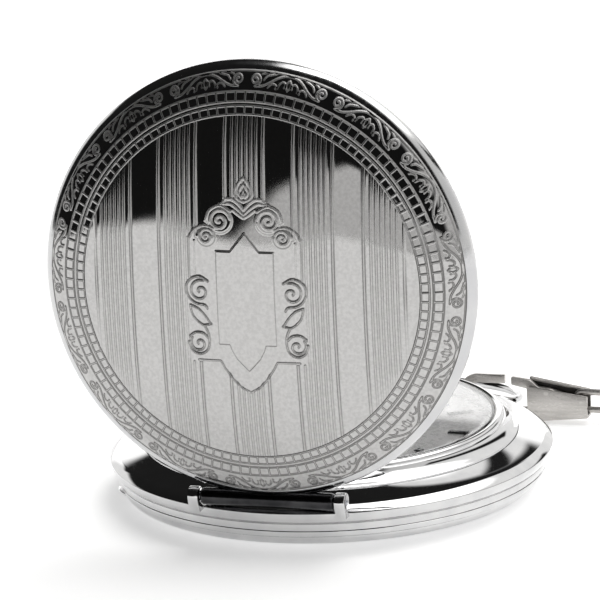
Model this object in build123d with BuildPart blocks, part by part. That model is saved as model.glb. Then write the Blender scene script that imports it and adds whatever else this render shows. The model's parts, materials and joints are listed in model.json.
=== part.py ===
"""Hunter pocket watch, hand wound, lying on its back with the front cover open.

Millimetres. The origin is where the case axis meets the surface the back cover rests on.
+Z is up through the dial, +Y points at the crown (12 o'clock) and -Y at the cover hinge.
"""
from build123d import *
from math import atan2, cos, degrees, pi, radians, sin
import os

os.makedirs("parts", exist_ok=True)

# ---------------------------------------------------------------- driving dimensions
CASE_R = 23.5            # widest radius of the case band
COVER_R = 22.7           # rim radius of the front cover
COVER_SHEET = 0.5        # sheet of both covers
RIM_Z = 5.5              # closed rim plane of the front cover
OPEN_ANGLE = 88.2        # the front cover stands this far open
HINGE_Y = -23.0
HINGE_Z = 6.05
KNUCKLE_R = 1.0
HINGE_PIN_R = 0.4
KNUCKLE_HALF = 7.15      # half length of the cover's knuckle
LUG_END = 8.35           # outer end of the case lugs

STEM_Z = 4.0             # height of the winding stem, pendant and bow axis
BOW_Y = 25.2             # bow pivots on the pendant
BOW_WIRE_R = 0.5
BOW_PIN_R = 0.4

DIAL_R = 18.2
DIAL_Z = 5.55            # underside of the dial
DIAL_TOP = 5.95
PLATE_R = 18.2
PLATE_Z = 4.1            # main plate, bridge side
PLATE_TOP = 5.5
BRIDGE_Z = 1.3           # outer face of the bridges
BRIDGE_TOP = 2.0         # inner face of the bridges
BRIDGE_R = 17.6
SCREW_R = 0.45
SHAFT_GAP = 0.03         # radial clearance of every pivot
JEWEL_R = 0.6
JEWEL_H = 0.35

# gear train: (teeth, module); centre distances follow from them
BARREL_TEETH, CENTRE_LEAVES, BARREL_M = 72, 12, 0.22
CENTRE_TEETH, THIRD_LEAVES, CENTRE_M = 80, 10, 0.15
THIRD_TEETH, FOURTH_LEAVES, THIRD_M = 75, 10, 0.13
FOURTH_TEETH, ESCAPE_LEAVES, FOURTH_M = 70, 7, 0.12
CANNON_LEAVES, MINUTE_TEETH, CANNON_M = 12, 36, 0.15
MINUTE_LEAVES, HOUR_TEETH, HOUR_M = 10, 40, 0.144
RATCHET_TEETH, CROWN_WHEEL_TEETH, RATCHET_M = 48, 28, 0.2
FOURTH_Y = -7.8          # small seconds, towards 6 o'clock
ESCAPE_TIP_R = 2.55
BALANCE_R = 4.2

# the watch shows 10:09:35
MINUTE_ANGLE = 90 - 9.58 * 6
HOUR_ANGLE = 90 - (10 + 9.58 / 60) * 30
SECOND_ANGLE = 90 - 35 * 6

# trouser clip, standing on its lower edge in the plane y = CLIP_Y
CLIP_Y = 26.3
CLIP_SHEET = 0.3
CLIP_DEPTH = 1.9         # outside width of the folded housing
CLIP_STRIP = 0.7         # thickness of the hook and gate
CLIP_PIN_R = 0.3


# ---------------------------------------------------------------- helpers
def polar(radius, angle, centre=(0, 0)):
    """Point at a radius and an angle in degrees from a centre."""
    return (centre[0] + radius * cos(radians(angle)), centre[1] + radius * sin(radians(angle)))


def outline(points, plane=Plane.XZ):
    """Straight-sided face on a plane."""
    with BuildSketch(plane) as sketch:
        with BuildLine():
            Polyline(*points, close=True)
        make_face()
    return sketch.sketch


def disc(centre, radius, height=0.0, bore=0.0):
    """Round face, or a ring, at a height above the origin."""
    with BuildSketch(Plane.XY.offset(height)) as sketch:
        with Locations(centre):
            Circle(radius)
            if bore:
                Circle(bore, mode=Mode.SUBTRACT)
    return sketch.sketch


def shaft(centre, steps):
    """Turned shaft along Z from (radius, low z, high z) steps."""
    with BuildPart() as turned:
        for radius, low, high in steps:
            extrude(disc(centre, radius, low), amount=high - low)
    return turned.part


def gear(centre, teeth, module, height, facing, gap=False):
    """Toothed face; a tooth, or a gap, looks along the facing angle."""
    pitch = 360 / teeth
    first = facing + (pitch / 2 if gap else 0)
    root_r = teeth * module / 2 - 1.25 * module
    tip_r = teeth * module / 2 + 0.8 * module
    flanks = ((root_r, -0.26), (tip_r, -0.1), (tip_r, 0.1), (root_r, 0.26))
    points = [polar(radius, first + (n + share) * pitch, centre)
              for n in range(teeth) for radius, share in flanks]
    return outline(points, Plane.XY.offset(height))


def spiral(centre, inner, outer, turns, width, height, start=0.0):
    """Face of a flat spiral spring."""
    steps = int(turns * 12)

    def side(shift):
        return [polar(inner + (outer - inner) * n / steps + shift, start + 360 * turns * n / steps, centre)
                for n in range(steps + 1)]

    near, far = side(0), side(width)
    with BuildSketch(Plane.XY.offset(height)) as sketch:
        with BuildLine():
            Spline(*near)
            Line(near[-1], far[-1])
            Spline(*far)
            Line(near[0], far[0])
        make_face()
    return sketch.sketch


def hand(length, tail, width, hub, bore, angle, centre, low, thick):
    """Leaf-shaped hand with a round hub."""
    along, across = polar(1, angle), polar(1, angle + 90)

    def spot(forward, side):
        return (centre[0] + along[0] * forward + across[0] * side,
                centre[1] + along[1] * forward + across[1] * side)

    with BuildPart() as blade:
        leaf = [spot(-tail, 0), spot(-tail * 0.7, width * 0.4), spot(0, width * 0.3), spot(length * 0.55, width),
                spot(length, 0), spot(length * 0.55, -width), spot(0, -width * 0.3), spot(-tail * 0.7, -width * 0.4)]
        extrude(outline(leaf, Plane.XY.offset(low)), amount=thick)
        extrude(disc(centre, hub, low), amount=thick)
        extrude(disc(centre, bore, low), amount=thick, mode=Mode.SUBTRACT)
    return blade.part


def keep(piece, name):
    """Label a finished piece and write its STEP."""
    piece.label = name
    export_step(piece, f"parts/{name}.step")


def distance(teeth_a, teeth_b, module):
    """Centre distance of two meshed gears."""
    return (teeth_a + teeth_b) * module / 2


# ---------------------------------------------------------------- places in the movement
CENTRE = (0, 0)
BARREL_ANGLE = 35
BARREL = polar(distance(BARREL_TEETH, CENTRE_LEAVES, BARREL_M), BARREL_ANGLE)
FOURTH = (0, FOURTH_Y)
REACH_A = distance(CENTRE_TEETH, THIRD_LEAVES, CENTRE_M)
REACH_B = distance(THIRD_TEETH, FOURTH_LEAVES, THIRD_M)
THIRD_Y = (REACH_A ** 2 - REACH_B ** 2 + FOURTH_Y ** 2) / (2 * FOURTH_Y)
THIRD = (-((REACH_A ** 2 - THIRD_Y ** 2) ** 0.5), THIRD_Y)
ESCAPE = polar(distance(FOURTH_TEETH, ESCAPE_LEAVES, FOURTH_M), -25, FOURTH)
LEVER_ANGLE = 15         # line of centres: escape wheel, pallet fork, balance
PALLET = polar(2.9, LEVER_ANGLE, ESCAPE)
BALANCE = polar(3.1, LEVER_ANGLE, PALLET)
MINUTE_POST = polar(distance(CANNON_LEAVES, MINUTE_TEETH, CANNON_M), 200)
CROWN_WHEEL = polar(distance(RATCHET_TEETH, CROWN_WHEEL_TEETH, RATCHET_M), 134.5, BARREL)
CLICK = polar(6.3, 60, BARREL)

BARREL_FEET = [(-8.2, 10.5), (4.6, 15.6), (16.0, 0.6), (-9.6, 0.4)]
TRAIN_FEET = [(-11.6, -8.4), (-0.6, -15.6), (-6.2, -13.4)]
COCK_FOOT = (15.2, -5.0)
PALLET_FEET = [polar(3.6, LEVER_ANGLE + side, PALLET) for side in (90, -90)]
FOOT_R = 1.2
CLAMPS = [polar(17.4, angle) for angle in (150, 300)]
DIAL_FEET = [(-13.5, 9.5), (13.5, -9.5)]


def bearing(a, b):
    """Angle of the line from a to b."""
    return degrees(atan2(b[1] - a[1], b[0] - a[0]))


# ---------------------------------------------------------------- case
with BuildPart() as mid_case:
    with BuildSketch(Plane.XZ):
        with BuildLine():
            Polyline((20.4, 1.9), (21.9, 1.9), (21.9, 2.55), (22.84, 2.55), (22.98, 3.35), (22.8, 3.45),
                     (22.8, 3.58), (23.18, 3.62))
            ThreePointArc((23.18, 3.62), (CASE_R, 4.3), (22.75, 5.22))
            ThreePointArc((22.75, 5.22), (21.4, 5.58), (19.95, 6.05))
            Polyline((19.95, 6.05), (19.95, 5.6), (19.0, 5.6), (19.0, 5.2), (20.4, 5.2), (20.4, 1.9))
        make_face()
    revolve(axis=Axis.Z)
    # boss for the pendant, and its bore
    with BuildSketch(Plane.XZ.offset(-24.3)):
        with Locations((0, STEM_Z)):
            Circle(2.2)
    extrude(amount=1.4)
    with BuildSketch(Plane.XZ.offset(-24.3)):
        with Locations((0, STEM_Z)):
            Circle(1.25)
    extrude(amount=5.0, mode=Mode.SUBTRACT)
    # relief for the cover's knuckle
    with BuildSketch(Plane.YZ.offset(-KNUCKLE_HALF - 0.1)):
        with Locations((HINGE_Y, HINGE_Z)):
            Circle(KNUCKLE_R + 0.12)
    extrude(amount=2 * KNUCKLE_HALF + 0.2, mode=Mode.SUBTRACT)
    # two hinge lugs
    for start in (-LUG_END, KNUCKLE_HALF + 0.1):
        with BuildSketch(Plane.YZ.offset(start)):
            with Locations((HINGE_Y, HINGE_Z)):
                Circle(KNUCKLE_R)
            with BuildLine():
                Polyline((HINGE_Y - 1.0, HINGE_Z), (HINGE_Y - 0.3, 4.2), (HINGE_Y + 1.2, 4.2),
                         (HINGE_Y + 1.0, HINGE_Z), close=True)
            make_face()
            with Locations((HINGE_Y, HINGE_Z)):
                Circle(HINGE_PIN_R, mode=Mode.SUBTRACT)
        extrude(amount=LUG_END - KNUCKLE_HALF - 0.1)
    # slot for the cover catch, and one for the finger of the lift spring
    extrude(outline([(-1.4, 20.0), (1.4, 20.0), (1.4, 22.15), (-1.4, 22.15)], Plane.XY.offset(5.3)),
            amount=1.2, mode=Mode.SUBTRACT)
    extrude(outline([(-0.8, -22.0), (0.8, -22.0), (0.8, -20.0), (-0.8, -20.0)], Plane.XY.offset(4.2)),
            amount=0.6, mode=Mode.SUBTRACT)
keep(mid_case.part, "mid_case")

LIP_ANGLE = 210
with BuildPart() as back_cover:
    with BuildSketch(Plane.XZ):
        with BuildLine():
            Line((0, 0), (15, 0))
            ThreePointArc((15, 0), (19, 0.28), (21.9, 0.92))
            ThreePointArc((21.9, 0.92), (22.24, 1.28), (22.42, 1.78))
            Polyline((22.42, 1.78), (22.74, 1.95), (22.84, 2.5), (21.95, 2.5), (21.95, 1.75), (21.45, 1.3))
            ThreePointArc((21.45, 1.3), (18.6, 0.76), (15, 0.5))
            Polyline((15, 0.5), (0, 0.5), (0, 0))
        make_face()
    revolve(axis=Axis.Z)
    # thumbnail lip
    with BuildSketch(Plane.XY.offset(2.0)):
        Circle(23.35)
        Circle(22.3, mode=Mode.SUBTRACT)
        with Locations(polar(22.6, LIP_ANGLE)):
            Circle(1.7, mode=Mode.INTERSECT)
    extrude(amount=0.35)
keep(back_cover.part, "back_cover")

with BuildPart() as bezel:
    with BuildSketch(Plane.XZ):
        with BuildLine():
            Polyline((18.3, 5.62), (19.9, 5.62), (19.9, 6.3), (19.45, 6.42))
            ThreePointArc((19.45, 6.42), (18.95, 6.85), (18.6, 7.4))
            Line((18.6, 7.4), (18.43, 7.5))
            ThreePointArc((18.43, 7.5), (18.3, 7.86), (17.65, 7.95))
            Polyline((17.65, 7.95), (17.65, 7.15), (17.1, 7.15), (16.9, 6.2), (18.3, 6.2), (18.3, 5.62))
        make_face()
    revolve(axis=Axis.Z)
keep(bezel.part, "bezel")

CRYSTAL_R = 17.5
with BuildPart() as crystal:
    with BuildSketch(Plane.XZ):
        with BuildLine():
            Polyline((0, 8.3), (0, 9.1))
            TangentArc((0, 9.1), (CRYSTAL_R - 0.1, 8.0), tangent=(1, 0))
            Polyline((CRYSTAL_R - 0.1, 8.0), (CRYSTAL_R, 7.9), (CRYSTAL_R, 7.15), (16.9, 7.15))
            TangentArc((0, 8.3), (16.9, 7.15), tangent=(1, 0))
        make_face()
    revolve(axis=Axis.Z)
keep(crystal.part, "crystal")

with BuildPart() as crystal_gasket:
    extrude(disc(CENTRE, 17.65, 7.15, CRYSTAL_R), amount=0.72)
keep(crystal_gasket.part, "crystal_gasket")

RING_OUT, RING_IN = 20.35, 18.25
with BuildPart() as movement_ring:
    extrude(disc(CENTRE, RING_OUT, 2.2, RING_IN), amount=2.95)
    # hole for the stem and pendant tube
    with BuildSketch(Plane.XZ.offset(-21)):
        with Locations((0, STEM_Z)):
            Circle(1.3)
    extrude(amount=4, mode=Mode.SUBTRACT)
    # pocket for the cover's lift spring
    with BuildSketch(Plane.XY.offset(2.7)):
        Circle(RING_OUT + 0.1)
        Circle(19.85, mode=Mode.SUBTRACT)
        Polygon((0, 0), polar(40, -140), polar(40, -40), align=None, mode=Mode.INTERSECT)
    extrude(amount=2.3, mode=Mode.SUBTRACT)
    # seats for the two case clamps
    for spot in CLAMPS:
        extrude(disc(spot, 2.0, 2.2), amount=1.9, mode=Mode.SUBTRACT)
keep(movement_ring.part, "movement_ring")

with BuildPart() as lift_spring:
    with BuildSketch(Plane.XY.offset(2.9)):
        Circle(20.25)
        Circle(19.95, mode=Mode.SUBTRACT)
        Polygon((0, 0), polar(40, -135), polar(40, -45), align=None, mode=Mode.INTERSECT)
    extrude(amount=1.9)
    extrude(outline([(-0.7, -21.8), (0.7, -21.8), (0.7, -20.0), (-0.7, -20.0)], Plane.XY.offset(4.3)),
            amount=0.4)
keep(lift_spring.part, "lift_spring")

with BuildPart() as case_clamps:
    for spot in CLAMPS:
        extrude(disc(spot, 1.9, 3.75, SCREW_R), amount=0.35)
keep(case_clamps.part, "case_clamps")

with BuildPart() as lid_catch:
    profile = [(20.9, 5.32), (21.8, 5.32), (21.8, 5.74), (22.08, 5.78), (21.9, 5.98), (21.45, 5.98),
               (21.45, 5.55), (20.9, 5.55)]
    extrude(outline(profile, Plane.YZ.offset(-1.2)), amount=2.4)
keep(lid_catch.part, "lid_catch")

# ---------------------------------------------------------------- pendant, crown and bow
ALONG_Y = Plane(origin=(0, 0, STEM_Z), x_dir=(1, 0, 0), z_dir=(0, 0, 1))
STEM_AXIS = Axis((0, 0, STEM_Z), (0, 1, 0))

with BuildPart() as pendant:
    tube = [(0.8, 20.5), (1.25, 20.5), (1.25, 24.3), (2.15, 24.3), (2.0, 24.6), (2.05, 26.2), (1.75, 27.1),
            (1.4, 27.4), (0.8, 27.4)]
    revolve(outline(tube, ALONG_Y), axis=STEM_AXIS)
    with BuildSketch(Plane.YZ.offset(-3)):
        with Locations((BOW_Y, STEM_Z)):
            Circle(BOW_PIN_R + SHAFT_GAP)
    extrude(amount=6, mode=Mode.SUBTRACT)
keep(pendant.part, "pendant")

CROWN_R = 2.9
with BuildPart() as crown:
    knob = [(0.72, 28.4), (2.3, 28.4), (2.8, 28.8), (CROWN_R, 29.3), (CROWN_R, 31.4), (2.55, 32.2),
            (1.5, 32.7), (0, 32.85), (0, 31.0), (0.72, 31.0)]
    revolve(outline(knob, ALONG_Y), axis=STEM_AXIS)
    with BuildSketch(Plane.XZ.offset(-28.2)):
        with Locations((0, STEM_Z)):
            with PolarLocations(CROWN_R + 0.12, 28):
                Circle(0.24)
    extrude(amount=-5, mode=Mode.SUBTRACT)
keep(crown.part, "crown")

with BuildPart() as winding_stem:
    rod = [(0, 10.6), (0.35, 10.6), (0.35, 12.8), (0.5, 12.8), (0.5, 16.0), (0.72, 16.0), (0.72, 16.2),
           (0.42, 16.2), (0.42, 16.6), (0.72, 16.6), (0.72, 31.0), (0, 31.0)]
    revolve(outline(rod, ALONG_Y), axis=STEM_AXIS)
keep(winding_stem.part, "winding_stem")


def stem_gear(low, high, teeth):
    """Toothed sleeve on the winding stem."""
    module = 2.5 / teeth
    with BuildPart() as sleeve:
        face = gear((0, 0), teeth, module, 0, 90)
        extrude(Plane.XZ.offset(-low) * Pos(0, STEM_Z, 0) * face, amount=low - high)
        with BuildSketch(Plane.XZ.offset(-low)):
            with Locations((0, STEM_Z)):
                Circle(0.5)
        extrude(amount=low - high, mode=Mode.SUBTRACT)
    return sleeve.part


keep(stem_gear(13.0, 14.2, 14), "clutch_wheel")
keep(stem_gear(14.5, 15.7, 16), "winding_pinion")

with BuildPart() as setting_lever:
    arm = [(-4.6, 14.4), (-2.4, 14.4), (-2.4, 16.25), (-0.46, 16.25), (-0.46, 16.55), (-4.6, 16.55)]
    extrude(outline(arm, Plane.XY.offset(3.75)), amount=0.3)
keep(setting_lever.part, "setting_lever")

BOW_HALF = [(2.3, BOW_Y, STEM_Z), (7.4, BOW_Y - 0.2, 3.5), (13.5, 24.9, 2.4), (12.7, 30.2, 1.55),
            (9.6, 34.8, 0.98), (4.4, 37.2, 0.72)]
BOW_BENDS = [6.0, 2.2, 4.5, 6.0, 8.0]
with BuildPart() as bow:
    with BuildLine():
        right = BOW_HALF
        left = [(-x, y, z) for x, y, z in reversed(BOW_HALF)]
        path = FilletPolyline(*right, *left, radius=BOW_BENDS + BOW_BENDS[::-1])
    with BuildSketch(Plane(origin=path @ 0, z_dir=path % 0)):
        Circle(BOW_WIRE_R)
    sweep(path=path)
    for side in (1, -1):
        with BuildSketch(Plane.YZ.offset(side * 1.15)):
            with Locations((BOW_Y, STEM_Z)):
                Circle(BOW_PIN_R)
        extrude(amount=side * 1.3)
keep(bow.part, "bow")

# ---------------------------------------------------------------- front cover and hinge
TILT = radians(OPEN_ANGLE)
LID_AXIS = (0, -sin(TILT), cos(TILT))
LID_CENTRE = (0, HINGE_Y - HINGE_Y * cos(TILT) - (RIM_Z - HINGE_Z) * sin(TILT),
              HINGE_Z - HINGE_Y * sin(TILT) + (RIM_Z - HINGE_Z) * cos(TILT))
LID_SECTION = Plane(origin=LID_CENTRE, x_dir=(1, 0, 0), z_dir=(0, -cos(TILT), -sin(TILT)))
LID_PLANE = Plane(origin=LID_CENTRE, x_dir=(1, 0, 0), z_dir=LID_AXIS)

with BuildPart() as lid:
    with BuildSketch(LID_SECTION):
        with BuildLine():
            Spline((0, 5.4), (10, 4.82), (17.7, 3.55), (20.1, 2.65), (21.9, 1.35), (COVER_R, 0.55),
                   tangents=[(1, 0), (0, -1)])
            Polyline((COVER_R, 0.55), (COVER_R, 0), (COVER_R - COVER_SHEET, 0), (COVER_R - COVER_SHEET, 0.5))
            Spline((COVER_R - COVER_SHEET, 0.5), (21.45, 1.12), (19.75, 2.25), (17.5, 3.08), (10, 4.32), (0, 4.9),
                   tangents=[(0, 1), (-1, 0)])
            Line((0, 4.9), (0, 5.4))
        make_face()
    revolve(axis=Axis(LID_CENTRE, LID_AXIS))
    # catch bead inside the rim, opposite the hinge
    bead = [(-1.2, 21.9), (1.2, 21.9), (1.2, 22.35), (-1.2, 22.35)]
    extrude(outline(bead, LID_PLANE), amount=0.18)
    # knuckle
    with BuildSketch(Plane.YZ.offset(-KNUCKLE_HALF)):
        with Locations((HINGE_Y, HINGE_Z)):
            Circle(KNUCKLE_R)
    extrude(amount=2 * KNUCKLE_HALF)
    with BuildSketch(Plane.YZ.offset(-KNUCKLE_HALF)):
        with Locations((HINGE_Y, HINGE_Z)):
            Circle(HINGE_PIN_R + SHAFT_GAP)
    extrude(amount=2 * KNUCKLE_HALF, mode=Mode.SUBTRACT)
keep(lid.part, "lid")

with BuildPart() as hinge_pin:
    with BuildSketch(Plane.YZ.offset(-LUG_END)):
        with Locations((HINGE_Y, HINGE_Z)):
            Circle(HINGE_PIN_R)
    extrude(amount=2 * LUG_END)
keep(hinge_pin.part, "hinge_pin")

# ---------------------------------------------------------------- main plate and bridges
SCREWS = BARREL_FEET + TRAIN_FEET + [COCK_FOOT]
PLATE_JEWELS = [THIRD, FOURTH, ESCAPE, PALLET, BALANCE]
ARBOR_R = 0.8            # barrel arbor pivots
CENTRE_ARBOR_R = 0.45

with BuildPart() as main_plate:
    extrude(disc(CENTRE, PLATE_R, PLATE_Z), amount=PLATE_TOP - PLATE_Z)
    # stem bearing below the plate, and the open slot for the stem's gears
    extrude(outline([(-1.2, 10.9), (1.2, 10.9), (1.2, 11.9), (-1.2, 11.9)], Plane.XY.offset(3.2)), amount=1.0)
    extrude(outline([(-1.8, 11.9), (1.8, 11.9), (1.8, 20), (-1.8, 20)], Plane.XY.offset(PLATE_Z)),
            amount=2, mode=Mode.SUBTRACT)
    with BuildSketch(Plane.XZ.offset(-9.4)):
        with Locations((0, STEM_Z)):
            Circle(0.35 + SHAFT_GAP)
    extrude(amount=-3, mode=Mode.SUBTRACT)
    # recess for the motion work under the dial
    for spot, radius in ((CENTRE, 3.4), (MINUTE_POST, 3.1)):
        extrude(disc(spot, radius, 4.9), amount=1, mode=Mode.SUBTRACT)
    extrude(disc(MINUTE_POST, 0.35, 4.8), amount=0.62)
    # bores for the pivots, jewels, screws and dial feet
    for spot in PLATE_JEWELS:
        extrude(disc(spot, JEWEL_R, PLATE_Z - 1), amount=4, mode=Mode.SUBTRACT)
    for spot in SCREWS + CLAMPS:
        extrude(disc(spot, SCREW_R, PLATE_Z), amount=0.9, mode=Mode.SUBTRACT)
    for spot in PALLET_FEET:
        extrude(disc(spot, 0.3, PLATE_Z), amount=0.6, mode=Mode.SUBTRACT)
    for spot in DIAL_FEET:
        extrude(disc(spot, 0.4, PLATE_Z), amount=2, mode=Mode.SUBTRACT)
    extrude(disc(CENTRE, CENTRE_ARBOR_R + SHAFT_GAP, PLATE_Z), amount=2, mode=Mode.SUBTRACT)
    extrude(disc(BARREL, ARBOR_R + SHAFT_GAP, PLATE_Z), amount=0.8, mode=Mode.SUBTRACT)
keep(main_plate.part, "main_plate")


def bridge(border, feet, bores):
    """Bridge plate cut to a border, with screwed feet down to the main plate."""
    with BuildPart() as plate:
        with BuildSketch(Plane.XY.offset(BRIDGE_Z)):
            Circle(BRIDGE_R)
            with BuildLine():
                Polyline(*border, close=True)
            make_face(mode=Mode.INTERSECT)
        extrude(amount=BRIDGE_TOP - BRIDGE_Z)
        for spot in feet:
            extrude(disc(spot, FOOT_R, BRIDGE_TOP), amount=PLATE_Z - BRIDGE_TOP)
        for spot in feet:
            extrude(disc(spot, SCREW_R, BRIDGE_Z), amount=3, mode=Mode.SUBTRACT)
        for spot, radius in bores:
            extrude(disc(spot, radius, BRIDGE_Z), amount=1, mode=Mode.SUBTRACT)
    return plate.part


keep(bridge([(-11.5, -2.2), (18, -2.2), (18, 18), (-11.5, 18)], BARREL_FEET,
            [(CENTRE, JEWEL_R), (BARREL, ARBOR_R + SHAFT_GAP), (CROWN_WHEEL, 0.5), (CLICK, 0.3)]),
     "barrel_bridge")
keep(bridge([(-18, -2.6), (0.4, -2.6), (5.2, -6.6), (5.5, -12), (2.5, -18), (-18, -18)], TRAIN_FEET,
            [(THIRD, JEWEL_R), (FOURTH, JEWEL_R), (ESCAPE, JEWEL_R)]), "train_bridge")

with BuildPart() as balance_cock:
    with BuildSketch(Plane.XY.offset(BRIDGE_Z)):
        with Locations(BALANCE):
            Circle(1.7)
        with Locations(COCK_FOOT):
            Circle(1.9)
        make_hull()
    extrude(amount=BRIDGE_TOP - BRIDGE_Z)
    extrude(disc(COCK_FOOT, FOOT_R, BRIDGE_TOP), amount=PLATE_Z - BRIDGE_TOP)
    extrude(disc(COCK_FOOT, SCREW_R, BRIDGE_Z), amount=3, mode=Mode.SUBTRACT)
    extrude(disc(BALANCE, JEWEL_R, BRIDGE_Z), amount=1, mode=Mode.SUBTRACT)
    # stud that carries the outer end of the hairspring
    stud = polar(2.95, bearing(BALANCE, COCK_FOOT), BALANCE)
    extrude(disc(stud, 0.25, BRIDGE_TOP), amount=0.45)
keep(balance_cock.part, "balance_cock")

with BuildPart() as pallet_bridge:
    with BuildSketch(Plane.XY.offset(3.25)):
        with Locations(*PALLET_FEET):
            Circle(0.8)
        make_hull()
        with Locations(PALLET):
            Circle(0.12 + SHAFT_GAP, mode=Mode.SUBTRACT)
    extrude(amount=0.2)
    for spot in PALLET_FEET:
        extrude(disc(spot, 0.7, 3.45), amount=PLATE_Z - 3.45)
        extrude(disc(spot, 0.3, PLATE_Z), amount=0.6)
keep(pallet_bridge.part, "pallet_bridge")

with BuildPart() as bridge_screws:
    for spot in SCREWS:
        extrude(disc(spot, 0.85, BRIDGE_Z - 0.35), amount=0.35)
        extrude(disc(spot, SCREW_R, BRIDGE_Z), amount=PLATE_Z - BRIDGE_Z + 0.85)
        with BuildSketch(Plane.XY.offset(BRIDGE_Z - 0.35)):
            with Locations(spot):
                Rectangle(1.8, 0.2)
        extrude(amount=0.15, mode=Mode.SUBTRACT)
keep(bridge_screws.part, "bridge_screws")

with BuildPart() as case_screws:
    for spot in CLAMPS:
        extrude(disc(spot, 0.8, 3.4), amount=0.35)
        extrude(disc(spot, SCREW_R, 3.75), amount=1.2)
        with BuildSketch(Plane.XY.offset(3.4)):
            with Locations(spot):
                Rectangle(1.8, 0.2)
        extrude(amount=0.15, mode=Mode.SUBTRACT)
keep(case_screws.part, "case_screws")

PIVOT_R = 0.15
BRIDGE_JEWELS = [THIRD, FOURTH, ESCAPE, BALANCE]
with BuildPart() as jewels:
    for spot in PLATE_JEWELS:
        bore = 0.2 if spot == FOURTH else PIVOT_R
        extrude(disc(spot, JEWEL_R, PLATE_Z + 0.1, bore + SHAFT_GAP), amount=JEWEL_H)
    for spot in BRIDGE_JEWELS:
        extrude(disc(spot, JEWEL_R, BRIDGE_Z + 0.2, PIVOT_R + SHAFT_GAP), amount=JEWEL_H)
    extrude(disc(CENTRE, JEWEL_R, BRIDGE_Z + 0.2, 0.3 + SHAFT_GAP), amount=JEWEL_H)
keep(jewels.part, "jewels")

# ---------------------------------------------------------------- barrel and winding work
with BuildPart() as barrel:
    extrude(gear(BARREL, BARREL_TEETH, BARREL_M, 3.2, BARREL_ANGLE + 180), amount=0.3)
    extrude(disc(BARREL, 7.55, 2.2), amount=1.3)
    extrude(disc(BARREL, 7.2, 2.2), amount=1.0, mode=Mode.SUBTRACT)
    extrude(disc(BARREL, ARBOR_R + SHAFT_GAP, 2.2), amount=2, mode=Mode.SUBTRACT)
keep(barrel.part, "barrel")

with BuildPart() as barrel_cover:
    extrude(disc(BARREL, 7.2, 2.2, ARBOR_R + SHAFT_GAP), amount=0.18)
keep(barrel_cover.part, "barrel_cover")

with BuildPart() as mainspring:
    extrude(spiral(BARREL, 1.55, 6.95, 8, 0.2, 2.45), amount=0.7)
keep(mainspring.part, "mainspring")

keep(shaft(BARREL, [(0.55, 0.8, 1.25), (ARBOR_R, 1.25, 2.42), (1.35, 2.42, 3.17), (ARBOR_R, 3.17, 4.85)]),
     "barrel_arbor")

MESH_ANGLE = bearing(BARREL, CROWN_WHEEL)
with BuildPart() as ratchet_wheel:
    extrude(gear(BARREL, RATCHET_TEETH, RATCHET_M, 0.85, MESH_ANGLE), amount=0.35)
    extrude(disc(BARREL, 0.55, 0.85), amount=1, mode=Mode.SUBTRACT)
keep(ratchet_wheel.part, "ratchet_wheel")

with BuildPart() as ratchet_screw:
    extrude(disc(BARREL, 1.5, 0.6), amount=0.2)
    with BuildSketch(Plane.XY.offset(0.6)):
        with Locations(BARREL):
            Rectangle(3.2, 0.25)
    extrude(amount=0.1, mode=Mode.SUBTRACT)
keep(ratchet_screw.part, "ratchet_screw")

with BuildPart() as crown_wheel:
    extrude(gear(CROWN_WHEEL, CROWN_WHEEL_TEETH, RATCHET_M, 0.85, MESH_ANGLE + 180, gap=True), amount=0.35)
    extrude(disc(CROWN_WHEEL, 0.5 + SHAFT_GAP, 0.85), amount=1, mode=Mode.SUBTRACT)
keep(crown_wheel.part, "crown_wheel")

keep(shaft(CROWN_WHEEL, [(1.2, 0.6, 0.82), (0.5, 0.82, BRIDGE_TOP)]), "crown_wheel_screw")

RATCHET_TIP_R = (RATCHET_TEETH / 2 + 0.8) * RATCHET_M
with BuildPart() as click:
    beak = polar(RATCHET_TIP_R + 0.13, 45, BARREL)
    with BuildSketch(Plane.XY.offset(0.87)):
        with Locations(CLICK):
            Circle(0.65)
        with Locations(beak):
            Circle(0.07)
        make_hull()
        with Locations(CLICK):
            Circle(0.3 + SHAFT_GAP, mode=Mode.SUBTRACT)
    extrude(amount=0.33)
keep(click.part, "click")

keep(shaft(CLICK, [(0.6, 0.62, 0.85), (0.3, 0.85, BRIDGE_TOP)]), "click_screw")

# ---------------------------------------------------------------- going train


def train_wheel(centre, wheel, pinion, arbor):
    """Wheel and pinion on one arbor; each gear is (teeth, module, low z, height, facing, gap)."""
    teeth, module, low, height, facing = wheel
    rim_r = teeth * module / 2 - 3.2 * module
    with BuildPart() as part:
        extrude(gear(centre, teeth, module, low, facing), amount=height)
        # crossings between the four arms
        with BuildSketch(Plane.XY.offset(low)):
            with Locations(centre):
                Circle(rim_r)
                Circle(rim_r * 0.32, mode=Mode.SUBTRACT)
                Rectangle(2 * rim_r, rim_r * 0.2, mode=Mode.SUBTRACT)
                Rectangle(rim_r * 0.2, 2 * rim_r, mode=Mode.SUBTRACT)
        extrude(amount=height, mode=Mode.SUBTRACT)
        teeth, module, low, height, facing = pinion
        extrude(gear(centre, teeth, module, low, facing, gap=True), amount=height)
        for radius, low, high in arbor:
            extrude(disc(centre, radius, low), amount=high - low)
    return part.part


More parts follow.
